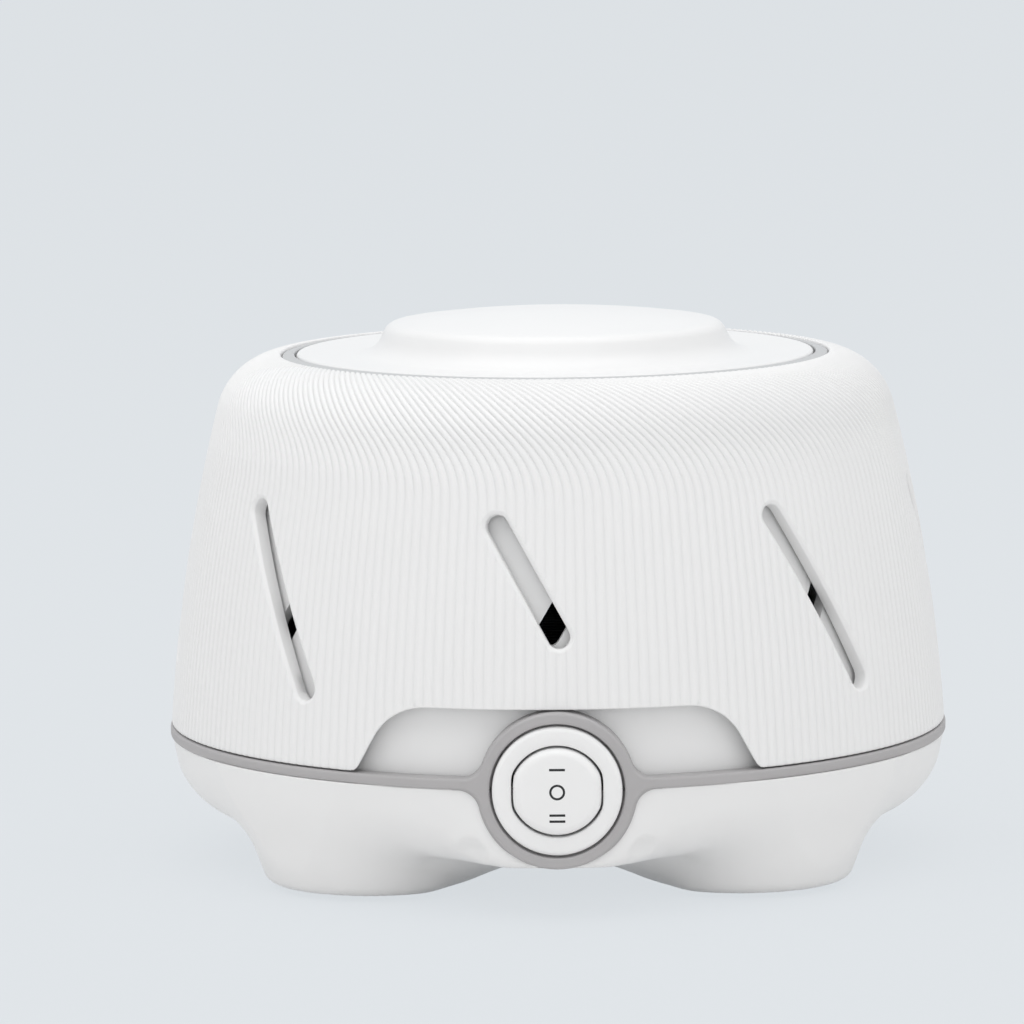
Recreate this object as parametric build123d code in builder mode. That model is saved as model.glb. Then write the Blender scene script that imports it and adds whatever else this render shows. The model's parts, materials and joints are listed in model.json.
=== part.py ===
"""Mechanical white noise machine: a fan inside two slotted shells, in millimetres.

The origin is on the resting plane, on the vertical axis of the shells. The switch faces -Y.
"""
import os
from math import atan2, cos, pi, radians, sin, sqrt, tan

from build123d import *

os.makedirs("parts", exist_ok=True)

# ---------------------------------------------------------------- driving dimensions

# Outer skin of the twist collar: two tangent arcs from its foot up to the round opening.
# Drops are counted down from the overall height, insets in from the collar's foot.
overall_height = 100.8
base_rim_radius = 71.3
collar_overhang = 0.07
collar_foot_height = 25.3
collar_foot_lean = 3.79
shoulder_inset = 9.32
shoulder_drop = 16.94
shoulder_lean = 14.3
opening_inset = 20.97
opening_drop = 7.58
collar_wall = 2.8

# Slanted sound slots. Each slot of a shell repeats round the axis.
slot_count = 8
collar_slot_width = 4.1
collar_slot_tilt = 29.5
collar_slot_azimuth = -1.5
housing_slot_width = 4.4
housing_slot_tilt = 31.0
housing_slot_azimuth = 0.9
slot_top_drop = 14.96
slot_foot_gap = 13.5
short_slot_gap = 12.6

# Cut-out in the collar, in front of the switch.
cutout_height = 11.9
cutout_half_width = 37.0
cutout_top_half_width = 29.8
cutout_top_round = 9.0
cutout_foot_round = 3.5

# Inner housing.
shell_gap = 0.7
housing_wall = 2.2
ledge_width = 4.8
deck_drop = 13.8
deck_thickness = 2.0
deck_lip_width = 1.5
deck_lip_thickness = 1.5
port_count = 8
port_circle_inset = 17.0
port_length = 22.0
port_width = 8.0
pivot_boss_radius = 8.0
pivot_boss_height = 5.0

# Cap and the grey ring round it.
cap_ring_width = 2.9
cap_rim_drop = 7.5
cap_neck_inset = 14.0
cap_neck_drop = 8.1
cap_neck_round = 5.5
dome_inset = 16.8
dome_rise = 2.3
dome_edge_round = 2.8
cap_rim_round = 0.6
cap_wall = 2.2
cap_side_factor = 1.1
cap_stem_radius = 4.0
cap_washer_radius = 7.0
cap_washer_thickness = 1.0
cap_screw_radius = 1.2
cap_screw_head_radius = 3.0
cap_screw_head_height = 2.4
ring_gap = 0.3
cap_gap = 0.4
seat_gap = 0.3
cap_ring_slope = 0.4
ring_edge_round = 0.3
shutter_gap = 1.6
shutter_thickness = 1.2

# Base bowl.
base_flare = 3.1
base_corner_round = 10.0
base_wall = 2.5
floor_height = 7.6
trim_height = 1.9
trim_edge_round = 0.4
collar_seat_gap = 0.3

# Feet: a lobe on each diagonal. The insets are from the bowl's lower corner, going up.
foot_count = 4
foot_toe_inset = 3.2
foot_side_inset = 1.6
foot_waist_inset = 0.8
foot_waist_height = 9.8
foot_flare = 1.3
foot_root_depth = 2.0
foot_corner_inset = 35.2
foot_lobe_radius = 20.6
foot_pocket_radius = 13.5
foot_floor = 3.0
foot_edge_round = 3.5
foot_clearance = 0.6
pad_radius = 12.0
pad_thickness = 1.6
pad_gap = 0.15
pad_edge_round = 0.3
dimple_radius = 2.15
dimple_depth = 0.5
dimple_azimuth = 14.0
dimple_height = 10.0

# Switch, seen along Y. Depths are counted inwards from the base's rim, steps outwards.
switch_drop = 2.1
switch_seat_depth = 4.5
loop_outer_radius = 13.75
loop_inner_radius = 11.8
loop_front_step = 0.2
loop_web_round = 4.0
loop_recess_gap = 0.15
cut_margin = 1.0
pod_radius = 15.2
pod_front_depth = 0.7
pod_back_depth = 9.3
bezel_radius = 11.35
bezel_front_step = 0.7
bezel_round = 1.0
rocker_window_radius = 8.7
rocker_window_shift = 0.61
rocker_window_half_width = 8.03
rocker_gap = 0.55
rocker_side_gap = 0.28
rocker_front_step = 1.7
rocker_back_depth = 6.3
rocker_pin_depth = 2.7
rocker_pin_radius = 1.2
rocker_pin_gap = 0.05
rocker_pin_reach = 9.5
rocker_edge_round = 0.8
rocker_corner_round = 1.2
pin_end_gap = 0.2
switch_body_radius = 10.0
switch_body_gap = 0.3
switch_body_length = 14.8
switch_cavity_radius = 8.9
switch_cavity_length = 5.8
terminal_spacing = 6.0
terminal_length = 6.5
terminal_width = 4.8
terminal_thickness = 0.8

# Motor plate, base posts and fasteners.
post_radius = 5.5
plate_drop = 3.1
plate_thickness = 2.0
plate_edge_gap = 5.67
plate_notch_half_width = 15.0
plate_notch_front = 34.0
plate_vent_radius = 14.0
ear_width = 12.0
ear_thickness = 3.5
ear_overhang = 5.669
ear_boss_radius = 5.0
ear_boss_height = 12.0
housing_screw_radius = 1.5
housing_screw_head_radius = 2.9
housing_screw_head_height = 2.4
screw_hole_gap = 0.2
screw_pocket_depth = 3.0
screw_end_gap = 1.0
driver_slot_width = 0.9

# Motor.
stack_clearance = 11.0
stack_height = 16.0
stack_half_width = 26.0
stack_front = 19.0
stack_back = 44.0
stack_bore_radius = 12.5
stack_limb = 11.0
stack_corner_round = 3.0
window_half_width = 13.0
window_front = 15.0
bobbin_half_length = 12.5
bobbin_wall = 1.0
winding_depth = 8.0
winding_round = 4.0
motor_screw_radius = 1.5
motor_screw_hole_gap = 0.1
motor_screw_head_radius = 2.8
motor_screw_head_height = 2.0
motor_screw_half_spacing = 20.0
motor_rear_screw_offset = 39.0
motor_nut_radius = 2.9
motor_nut_height = 2.4
motor_screw_tail = 0.8
grommet_radius = 6.0
grommet_groove_radius = 4.0
grommet_lip = 1.6
sleeve_radius = 3.0
bracket_thickness = 1.6
bracket_width = 14.0
bracket_reach = 26.0
bracket_foot = 11.0
bracket_slope = 4.0
bracket_rise = 6.0
bearing_boss_radius = 6.5
bearing_boss_height = 5.5
bearing_radius = 4.5
shaft_radius = 1.6
shaft_gap = 0.05
shaft_drop = 11.8
shaft_end_gap = 8.6
air_gap = 0.4
end_ring_radius = 10.0
end_ring_height = 1.7
washer_radius = 3.2
thrust_washer_height = 1.5
thrust_gap = 0.3
fuse_radius = 1.8
fuse_length = 10.0

# Fan.
fan_radius = 34.0
fan_clearance = 13.0
fan_top_gap = 9.0
fan_disc_thickness = 1.4
fan_blade_count = 9
fan_blade_length = 18.0
fan_blade_thickness = 1.4
fan_blade_circle_radius = 23.5
fan_blade_sweep = 35.0
fan_rim_width = 3.0
fan_rim_height = 1.6
fan_hub_radius = 6.0
fan_hub_drop = 2.0
fan_clip_radius = 4.0
fan_clip_height = 1.0

# Cord gland at the back and the internal leads.
gland_drop = 7.6
gland_seat_depth = 4.0
gland_flange_radius = 6.5
gland_flange_thickness = 2.2
gland_nose_radius = 4.8
gland_nose_length = 5.7
gland_nose_round = 1.0
gland_neck_radius = 4.4
gland_neck_gap = 0.1
gland_snap_radius = 4.9
gland_neck_length = 7.0
gland_bore_radius = 2.8
gland_pad_radius = 7.4
gland_wall = 5.3
gland_pocket_radius = 6.8
lead_radius = 0.9
lead_grip = 3.7
lead_tail = 4.3
terminal_tail = 4.5
lead_hole_radius = 1.8
lead_hole_x = 17.2
lead_hole_y = (52.5, 48.0)

# ---------------------------------------------------------------- derived places

collar_gap_inset = collar_wall + shell_gap
housing_inset = collar_gap_inset + housing_wall
collar_radius = base_rim_radius + collar_overhang
shoulder_radius = collar_radius - shoulder_inset
shoulder_height = overall_height - shoulder_drop
opening_radius = collar_radius - opening_inset
opening_height = overall_height - opening_drop
ledge_radius = opening_radius - ledge_width
ledge_height = opening_height - collar_gap_inset
deck_height = overall_height - deck_drop
deck_bottom = deck_height - deck_thickness
boss_bottom = deck_height - pivot_boss_height
slot_top = shoulder_height - slot_top_drop
slot_bottom = collar_foot_height + slot_foot_gap
short_slot_bottom = collar_foot_height + cutout_height + short_slot_gap
cap_radius = opening_radius - cap_ring_width
cap_rim_height = overall_height - cap_rim_drop
cap_neck_radius = cap_radius - cap_neck_inset
cap_neck_height = overall_height - cap_neck_drop
dome_radius = cap_radius - dome_inset
dome_edge_height = overall_height - dome_rise
shutter_radius = ledge_radius - shutter_gap
port_circle_radius = shutter_radius - port_circle_inset
trim_top = collar_foot_height - collar_seat_gap
rim_height = trim_top - trim_height
base_corner_radius = base_rim_radius - base_flare
foot_offset = base_corner_radius - foot_corner_inset
foot_circle_radius = foot_offset * sqrt(2)
plate_height = rim_height - plate_drop
plate_top = plate_height + plate_thickness
plate_radius = collar_radius - housing_inset - plate_edge_gap
ear_inner_radius = foot_circle_radius - ear_overhang
stack_bottom = plate_top + stack_clearance
stack_top = stack_bottom + stack_height
shaft_bottom = stack_bottom - shaft_drop
shaft_top = deck_bottom - shaft_end_gap
fan_bottom = stack_top + fan_clearance
fan_top = deck_bottom - fan_top_gap
switch_height = trim_top - switch_drop
switch_seat = base_rim_radius - switch_seat_depth
loop_front_radius = base_rim_radius + loop_front_step
pod_front_radius = base_rim_radius - pod_front_depth
pod_back = base_rim_radius - pod_back_depth
bezel_front = base_rim_radius + bezel_front_step
rocker_front = base_rim_radius + rocker_front_step
rocker_back = base_rim_radius - rocker_back_depth
rocker_axis_depth = base_rim_radius - rocker_pin_depth
switch_body_back = switch_seat - switch_body_length
switch_cavity_back = switch_seat - switch_cavity_length
gland_height = rim_height - gland_drop
gland_seat = base_rim_radius - gland_seat_depth
gland_nose_end = gland_seat + gland_nose_length
gland_inner_end = gland_seat - gland_neck_length
gland_pad_front = gland_seat - gland_wall
screw_seat = pad_thickness + screw_pocket_depth
screw_hole_top = plate_top + ear_boss_height - screw_end_gap
rocker_radius = rocker_window_radius - rocker_gap
rocker_half_width = rocker_window_half_width - rocker_side_gap
front = Plane.XZ
stem_bore_radius = cap_stem_radius + shaft_gap
switch_notch_radius = switch_body_radius + switch_body_gap
gland_hole_radius = gland_neck_radius + gland_neck_gap
lead_hole_places = [
    (lead_hole_x, lead_hole_y[0]),
    (lead_hole_x, lead_hole_y[1]),
    (-lead_hole_x, lead_hole_y[0]),
]
base_wall_lean = atan2(base_rim_radius - base_corner_radius, rim_height - floor_height)
corner_centre_radius = base_corner_radius - base_corner_round / tan((pi / 2 + base_wall_lean) / 2)
corner_centre_height = floor_height + base_corner_round
lean_normal = (cos(radians(shoulder_lean)), sin(radians(shoulder_lean)))
motor_screw_places = [
    (x, y)
    for y in (0, motor_rear_screw_offset)
    for x in (-motor_screw_half_spacing, motor_screw_half_spacing)
]
foot_places = [(x, y) for y in (-foot_offset, foot_offset) for x in (-foot_offset, foot_offset)]


# ---------------------------------------------------------------- shared outlines and cuts


def skin_points(inset):
    """Foot, shoulder and crown of the collar's outer skin, moved inwards by the inset."""
    foot = (collar_radius - inset, collar_foot_height)
    shoulder = (
        shoulder_radius - inset * lean_normal[0],
        shoulder_height - inset * lean_normal[1],
    )
    crown = (opening_radius, opening_height - inset)
    return foot, shoulder, crown


def skin_arcs(inset):
    """Draw the long side arc and the shoulder arc of the skin at the inset."""
    foot, shoulder, crown = skin_points(inset)
    foot_direction = (-sin(radians(collar_foot_lean)), cos(radians(collar_foot_lean)))
    side = TangentArc(foot, shoulder, tangent=foot_direction)
    TangentArc(shoulder, crown, tangent=side % 1)


def radial_plane(azimuth, distance):
    """Upright plane that faces outwards at the azimuth, counted from -Y towards +X."""
    angle = radians(azimuth)
    outward = (sin(angle), -cos(angle), 0)
    across = (cos(angle), sin(angle), 0)
    origin = (distance * outward[0], distance * outward[1], 0)
    return Plane(origin=origin, x_dir=across, z_dir=outward)


def cut_slots(first_azimuth, tilt, width):
    """Cut the ring of slanted slots; a positive tilt leans their tops to the left.

    The front slot is short, to stay above the switch, and keeps its upper end.
    """
    middle = (slot_top + slot_bottom) / 2
    for index in range(slot_count):
        bottom = short_slot_bottom if index == 0 else slot_bottom
        centre_height = (slot_top + bottom) / 2
        sideways = (middle - centre_height) * tan(radians(tilt))
        length = (slot_top - bottom) / cos(radians(tilt))
        azimuth = first_azimuth + index * 360 / slot_count
        with BuildSketch(radial_plane(azimuth, ledge_radius)) as slot:
            with Locations((sideways, centre_height)):
                SlotCenterToCenter(length, width, rotation=90 + tilt)
        extrude(slot.sketch, amount=collar_radius - ledge_radius, mode=Mode.SUBTRACT)


def loop_outline(grow):
    """Trim seen from the front: the band with the round loop in its middle."""
    web_reach = loop_outer_radius + 2 * loop_web_round
    with BuildSketch(Plane.XY) as outline:
        with Locations(Location((0, switch_height, 0), (0, 0, 90))):
            Circle(loop_outer_radius + grow)
        with Locations((0, rim_height + trim_height / 2)):
            Rectangle(2 * web_reach, trim_height + 2 * grow)
        web_centre = web_reach - loop_web_round
        web_corners = outline.vertices().filter_by(
            lambda corner: loop_web_round < abs(corner.X) < web_centre
        )
        fillet(web_corners, loop_web_round - grow)
    return outline.sketch


def window_outline(radius, half_width):
    """Two arcs with flat sides: the shape of the rocker and of its window."""
    with BuildSketch(Plane.XY) as outline:
        with Locations((0, switch_height - rocker_window_shift)):
            Circle(radius)
        with Locations((0, switch_height + rocker_window_shift)):
            Circle(radius, mode=Mode.INTERSECT)
        with Locations((0, switch_height)):
            Rectangle(2 * half_width, 2 * radius, mode=Mode.INTERSECT)
        fillet(outline.vertices(), rocker_corner_round)
    return outline.sketch


def forward(face, near, far, mode=Mode.ADD):
    """Extrude a front-view outline between two distances in front of the axis."""
    with BuildSketch(front.offset(near)) as outline:
        add(face)
    extrude(outline.sketch, amount=far - near, mode=mode)


def round_forward(radius, height, near, far, mode=Mode.ADD):
    """Cylinder parallel to Y at the height, between two distances in front of the axis."""
    with BuildSketch(front.offset(near)) as outline:
        with Locations((0, height)):
            Circle(radius)
    extrude(outline.sketch, amount=far - near, mode=mode)


def disc(radius, bottom, top, mode=Mode.ADD, places=((0, 0),)):
    """Upright cylinders between two heights."""
    with BuildSketch(Plane.XY.offset(bottom)) as circles:
        with Locations(*places):
            Circle(radius)
    extrude(circles.sketch, amount=top - bottom, mode=mode)


def turned(points, rounds, mode=Mode.ADD):
    """Solid of revolution from an outline of radius and height, with rounded corners."""
    with BuildSketch(Plane.XZ) as section:
        with BuildLine():
            FilletPolyline(*points, radius=rounds, close=True)
        make_face()
    revolve(section.sketch, axis=Axis.Z, mode=mode)


def finish(builder, node):
    """Name the piece and write it."""
    builder.part.label = node
    export_step(builder.part, f"parts/{node}.step")


# ---------------------------------------------------------------- base

inner_floor = floor_height + base_wall
trim_inner_radius = collar_radius - collar_gap_inset + ring_gap
bowl_outline = [
    (0, floor_height),
    (base_corner_radius, floor_height),
    (base_rim_radius, rim_height),
    (0, rim_height),
]
cavity_outline = [
    (0, inner_floor),
    (base_corner_radius - base_wall, inner_floor),
    (base_rim_radius - base_wall, rim_height),
    (0, rim_height),
]

# The feet keep within this outline, which carries the bowl's curve on down.
foot_top = corner_centre_height - foot_root_depth
foot_envelope = [
    (0, foot_clearance),
    (base_corner_radius - foot_toe_inset, foot_clearance),
    (base_corner_radius - foot_side_inset, floor_height / 2),
    (base_corner_radius - foot_waist_inset, foot_waist_height),
    (base_corner_radius + foot_flare, foot_top),
    (0, foot_top),
]

with BuildPart() as feet_form:
    disc(foot_lobe_radius, foot_clearance, foot_top, places=foot_places)
    fillet(feet_form.edges().group_by(Axis.Z)[0], foot_edge_round)
    turned(foot_envelope, [0, foot_edge_round, 0, 0, 0, 0], Mode.INTERSECT)

with BuildPart() as pod_form:
    round_forward(pod_radius, switch_height, pod_back, collar_radius)
    disc(pod_front_radius, floor_height, rim_height, mode=Mode.INTERSECT)

with BuildPart() as gland_pad:
    round_forward(gland_pad_radius, gland_height, -gland_seat, -gland_pad_front)
    disc(gland_nose_end, floor_height, rim_height, mode=Mode.INTERSECT)

loop_face = loop_outline(0)
loop_recess_face = loop_outline(loop_recess_gap)

with BuildPart() as base_shell:
    turned(bowl_outline, [0, base_corner_round, 0, 0])
    add(feet_form.part)
    turned(cavity_outline, [0, base_corner_round - base_wall, 0, 0], Mode.SUBTRACT)
    add(pod_form.part)
    add(gland_pad.part)
    # Pockets in the feet, each with a post for its screw and a recess for its pad.
    pocket_floor = foot_clearance + foot_floor
    disc(foot_pocket_radius, pocket_floor, inner_floor, Mode.SUBTRACT, foot_places)
    disc(post_radius, pocket_floor, plate_height, places=foot_places)
    disc(pad_radius + pad_gap, 0, pad_thickness, Mode.SUBTRACT, foot_places)
    disc(housing_screw_head_radius + screw_hole_gap, pad_thickness, screw_seat, Mode.SUBTRACT, foot_places)
    disc(housing_screw_radius + screw_hole_gap, screw_seat, plate_height, Mode.SUBTRACT, foot_places)
    # Room for the housing's wall, recess for the trim's loop, notch for the switch body.
    disc(trim_inner_radius, plate_top, rim_height, Mode.SUBTRACT)
    forward(loop_recess_face, switch_seat, collar_radius, Mode.SUBTRACT)
    round_forward(switch_notch_radius, switch_height, ledge_radius, switch_seat, Mode.SUBTRACT)
    # Seat and hole for the cord gland.
    round_forward(gland_pocket_radius, gland_height, -collar_radius, -gland_seat, Mode.SUBTRACT)
    round_forward(gland_hole_radius, gland_height, -gland_seat, -ledge_radius, Mode.SUBTRACT)
    # Shallow dimples on both sides of each arch, cut square to the rounded corner.
    dimple_ball_radius = (dimple_radius**2 + dimple_depth**2) / (2 * dimple_depth)
    dimple_reach = (base_corner_round + dimple_ball_radius - dimple_depth) / base_corner_round
    dimple_drop = corner_centre_height - dimple_height
    dimple_out = sqrt(base_corner_round**2 - dimple_drop**2)
    dimple_ball_height = corner_centre_height - dimple_reach * dimple_drop
    dimple_ring_radius = corner_centre_radius + dimple_reach * dimple_out
    for start in (-dimple_azimuth, dimple_azimuth):
        with Locations((0, 0, dimple_ball_height)):
            with PolarLocations(dimple_ring_radius, foot_count, start_angle=start):
                Sphere(dimple_ball_radius, mode=Mode.SUBTRACT)
finish(base_shell, "base_shell")

for number, place in enumerate(foot_places, start=1):
    with BuildPart() as foot_pad:
        disc(pad_radius, 0, pad_thickness, places=(place,))
        fillet(foot_pad.edges().group_by(Axis.Z)[0], pad_edge_round)
    finish(foot_pad, f"foot_pad_{number}")

    # Screw from the foot up through the motor plate into the housing's ear.
    with BuildPart() as housing_screw:
        head_bottom = screw_seat - housing_screw_head_height
        disc(housing_screw_head_radius, head_bottom, screw_seat, places=(place,))
        disc(housing_screw_radius, screw_seat, screw_hole_top - screw_end_gap, places=(place,))
        with BuildSketch(Plane.XY.offset(head_bottom)):
            with Locations(place):
                Rectangle(2 * housing_screw_radius, driver_slot_width)
                Rectangle(driver_slot_width, 2 * housing_screw_radius)
        extrude(amount=housing_screw_head_height / 2, mode=Mode.SUBTRACT)
    finish(housing_screw, f"housing_screw_{number}")

# Grey band on the base's rim, with the flat loop round the switch.
with BuildPart() as loop_form:
    forward(loop_face, switch_seat, loop_front_radius + cut_margin)
    disc(loop_front_radius, 0, 2 * switch_height, Mode.INTERSECT)

with BuildPart() as trim_gasket:
    trim_outline = [
        (trim_inner_radius, rim_height),
        (base_rim_radius, rim_height),
        (base_rim_radius, rim_height + trim_height),
        (trim_inner_radius, rim_height + trim_height),
    ]
    turned(trim_outline, [0, trim_edge_round, trim_edge_round, 0])
    add(loop_form.part)
    loop_cut_end = loop_front_radius + cut_margin
    round_forward(loop_inner_radius, switch_height, pod_back, loop_cut_end, Mode.SUBTRACT)
finish(trim_gasket, "trim_gasket")

# ---------------------------------------------------------------- inner housing

with BuildPart() as inner_housing:
    outer_foot, outer_shoulder, outer_crown = skin_points(collar_gap_inset)
    inner_foot, inner_shoulder, inner_crown = skin_points(housing_inset)
    ledge_wall = ledge_radius + housing_wall
    lip_radius = ledge_radius - deck_lip_width
    lip_bottom = deck_bottom - deck_lip_thickness
    with BuildSketch(Plane.XZ):
        with BuildLine():
            Line((outer_foot[0], plate_top), outer_foot)
            skin_arcs(collar_gap_inset)
            # Ledge for the cap, and the lip that carries the port deck.
            Polyline(
                outer_crown,
                (ledge_radius, ledge_height),
                (ledge_radius, deck_bottom),
                (lip_radius, deck_bottom),
                (lip_radius, lip_bottom),
                (ledge_wall, lip_bottom),
                (ledge_wall, inner_crown[1]),
                inner_crown,
            )
            skin_arcs(housing_inset)
            Polyline(inner_foot, (inner_foot[0], plate_top), (outer_foot[0], plate_top))
        make_face()
    revolve(axis=Axis.Z)
    # Ears that stand on the motor plate, with bosses for the screws from the feet.
    with BuildSketch(Plane.XY.offset(plate_top)):
        ear_length = inner_foot[0] + housing_wall / 2 - ear_inner_radius
        with PolarLocations(ear_inner_radius + ear_length / 2, foot_count, start_angle=45):
            Rectangle(ear_length, ear_width)
    extrude(amount=ear_thickness)
    disc(ear_boss_radius, plate_top, plate_top + ear_boss_height, places=foot_places)
    disc(housing_screw_radius, plate_top, screw_hole_top, Mode.SUBTRACT, foot_places)
    cut_slots(housing_slot_azimuth, -housing_slot_tilt, housing_slot_width)
    # Seat of the loop and notch of the switch body.
    forward(loop_recess_face, switch_seat, collar_radius, Mode.SUBTRACT)
    round_forward(switch_notch_radius, switch_height, ledge_radius, switch_seat, Mode.SUBTRACT)
finish(inner_housing, "inner_housing")

# Round deck that rests on the housing's lip, with the air ports and the cap's pivot.
with BuildPart() as port_deck:
    disc(ledge_radius, deck_bottom, deck_height)
    disc(pivot_boss_radius, boss_bottom, deck_bottom)
    disc(stem_bore_radius, boss_bottom, deck_height, Mode.SUBTRACT)
    with BuildSketch(Plane.XY.offset(deck_bottom)):
        with PolarLocations(port_circle_radius, port_count):
            SlotOverall(port_length, port_width)
    extrude(amount=deck_thickness, mode=Mode.SUBTRACT)
finish(port_deck, "port_deck")

with BuildPart() as cap_ring:
    ring_inner = cap_radius + cap_gap
    ring_outer = opening_radius - ring_gap
    ring_outline = [
        (ring_inner, ledge_height),
        (ring_outer, ledge_height),
        (ring_outer, opening_height - cap_ring_slope),
        (ring_inner, opening_height),
    ]
    turned(ring_outline, [0, 0, ring_edge_round, ring_edge_round])
finish(cap_ring, "cap_ring")

# ---------------------------------------------------------------- twist collar

with BuildPart() as collar:
    with BuildSketch(Plane.XZ):
        with BuildLine():
            skin_arcs(0)
            skin_arcs(collar_wall)
            Line(skin_points(0)[0], skin_points(collar_wall)[0])
            Line(skin_points(0)[2], skin_points(collar_wall)[2])
        make_face()
    revolve(axis=Axis.Z)
    cut_slots(collar_slot_azimuth, collar_slot_tilt, collar_slot_width)
    # Cut-out in front of the switch, with sloping sides and flared feet.
    cutout_top = collar_foot_height + cutout_height
    flare_reach = cutout_half_width + 2 * cutout_foot_round
    cutout_points = [
        (-flare_reach, collar_foot_height - cutout_height),
        (-flare_reach, collar_foot_height),
        (-cutout_half_width, collar_foot_height),
        (-cutout_top_half_width, cutout_top),
        (cutout_top_half_width, cutout_top),
        (cutout_half_width, collar_foot_height),
        (flare_reach, collar_foot_height),
        (flare_reach, collar_foot_height - cutout_height),
    ]
    cutout_rounds = [cutout_foot_round, cutout_top_round, cutout_top_round, cutout_foot_round]
    with BuildSketch(front.offset(collar_radius / 2)):
        with BuildLine():
            FilletPolyline(*cutout_points, radius=[0, 0, *cutout_rounds, 0, 0], close=True)
        make_face()
    extrude(amount=collar_radius, mode=Mode.SUBTRACT)
finish(collar, "collar")

# ---------------------------------------------------------------- cap


def cap_body(inset, mode):
    """Cap as a solid of revolution, with its skin moved in by the inset."""
    side_inset = inset * cap_side_factor
    dome_edge = (dome_radius - side_inset, dome_edge_height - inset)
    with BuildSketch(Plane.XZ) as section:
        with BuildLine():
            FilletPolyline(
                (0, cap_foot - inset),
                (cap_radius - inset, cap_foot - inset),
                (cap_radius - inset, cap_rim_height - inset),
                (cap_neck_radius - side_inset, cap_neck_height - inset),
                dome_edge,
                radius=[0, cap_rim_round, cap_neck_round],
            )
            TangentArc((0, overall_height - inset), dome_edge, tangent=(1, 0))
            Line((0, cap_foot - inset), (0, overall_height - inset))
        make_face()
        fillet(section.vertices().sort_by_distance((*dome_edge, 0))[0], dome_edge_round)
    revolve(section.sketch, axis=Axis.Z, mode=mode)


cap_foot = ledge_height + seat_gap
stem_bottom = boss_bottom - seat_gap
shutter_bottom = deck_height + seat_gap
with BuildPart() as cap:
    cap_body(0, Mode.ADD)
    cap_body(cap_wall, Mode.SUBTRACT)
    disc(cap_stem_radius, stem_bottom, overall_height - cap_wall / 2)
    disc(cap_screw_radius, stem_bottom, cap_neck_height, Mode.SUBTRACT)
finish(cap, "cap")

# Disc on the cap's stem that covers and uncovers the ports as the cap turns.
with BuildPart() as cap_shutter:
    disc(shutter_radius, shutter_bottom, shutter_bottom + shutter_thickness)
    disc(pivot_boss_radius, shutter_bottom, shutter_bottom + 2 * shutter_thickness)
    with BuildSketch(Plane.XY.offset(shutter_bottom)):
        with PolarLocations(port_circle_radius, port_count):
            SlotOverall(port_length, port_width)
    extrude(amount=shutter_thickness, mode=Mode.SUBTRACT)
    disc(cap_stem_radius, shutter_bottom, cap_foot, Mode.SUBTRACT)
finish(cap_shutter, "cap_shutter")

cap_washer_bottom = stem_bottom - cap_washer_thickness
with BuildPart() as cap_washer:
    disc(cap_washer_radius, cap_washer_bottom, stem_bottom)
    disc(cap_screw_radius, cap_washer_bottom, stem_bottom, Mode.SUBTRACT)
finish(cap_washer, "cap_washer")

with BuildPart() as cap_screw:
    disc(cap_screw_head_radius, cap_washer_bottom - cap_screw_head_height, cap_washer_bottom)
    disc(cap_screw_radius, cap_washer_bottom, cap_neck_height - screw_end_gap)
finish(cap_screw, "cap_screw")

# ---------------------------------------------------------------- switch

window_face = window_outline(rocker_window_radius, rocker_window_half_width)
rocker_face = window_outline(rocker_radius, rocker_half_width)

with BuildPart() as switch_bezel:
    round_forward(bezel_radius, switch_height, switch_seat, bezel_front)
    forward(window_face, switch_seat, bezel_front, Mode.SUBTRACT)
    front_edges = switch_bezel.edges().group_by(Axis.Y)[0]
    fillet(front_edges.sort_by(SortBy.LENGTH)[-1], bezel_round)
    with BuildSketch(radial_plane(90, -rocker_pin_reach - pin_end_gap)):
        with Locations((-rocker_axis_depth, switch_height)):
            Circle(rocker_pin_radius + rocker_pin_gap)
    extrude(amount=2 * (rocker_pin_reach + pin_end_gap), mode=Mode.SUBTRACT)
finish(switch_bezel, "switch_bezel")

with BuildPart() as rocker_button:
    forward(rocker_face, rocker_back, rocker_front)
    fillet(rocker_button.edges().group_by(Axis.Y)[0], rocker_edge_round)
    with BuildSketch(radial_plane(90, -rocker_pin_reach)):
        with Locations((-rocker_axis_depth, switch_height)):
            Circle(rocker_pin_radius)
    extrude(amount=2 * rocker_pin_reach)
finish(rocker_button, "rocker_button")

with BuildPart() as switch_body:
    round_forward(switch_body_radius, switch_height, switch_body_back, switch_seat)
    round_forward(switch_cavity_radius, switch_height, switch_cavity_back, switch_seat, Mode.SUBTRACT)
finish(switch_body, "switch_body")

terminal_end = switch_body_back - terminal_length
for number, step in enumerate((-1, 0, 1), start=1):
    terminal_height = switch_height + step * terminal_spacing
    with BuildPart() as switch_terminal:
        with BuildSketch(front.offset(terminal_end)):
            with Locations((0, terminal_height)):
                Rectangle(terminal_width, terminal_thickness)
        extrude(amount=terminal_length)
    finish(switch_terminal, f"switch_terminal_{number}")

# ---------------------------------------------------------------- motor plate and soft mounts

with BuildPart() as motor_plate:
    disc(plate_radius, plate_height, plate_top)
    disc(plate_vent_radius, plate_height, plate_top, Mode.SUBTRACT)
    disc(housing_screw_radius + screw_hole_gap, plate_height, plate_top, Mode.SUBTRACT, foot_places)
    disc(grommet_groove_radius, plate_height, plate_top, Mode.SUBTRACT, motor_screw_places)
    disc(lead_hole_radius, plate_height, plate_top, Mode.SUBTRACT, lead_hole_places)
    with BuildSketch(Plane.XY.offset(plate_height)):
        with Locations((0, -(plate_notch_front + plate_radius) / 2)):
            Rectangle(2 * plate_notch_half_width, plate_radius - plate_notch_front)
    extrude(amount=plate_thickness, mode=Mode.SUBTRACT)
finish(motor_plate, "motor_plate")

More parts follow.
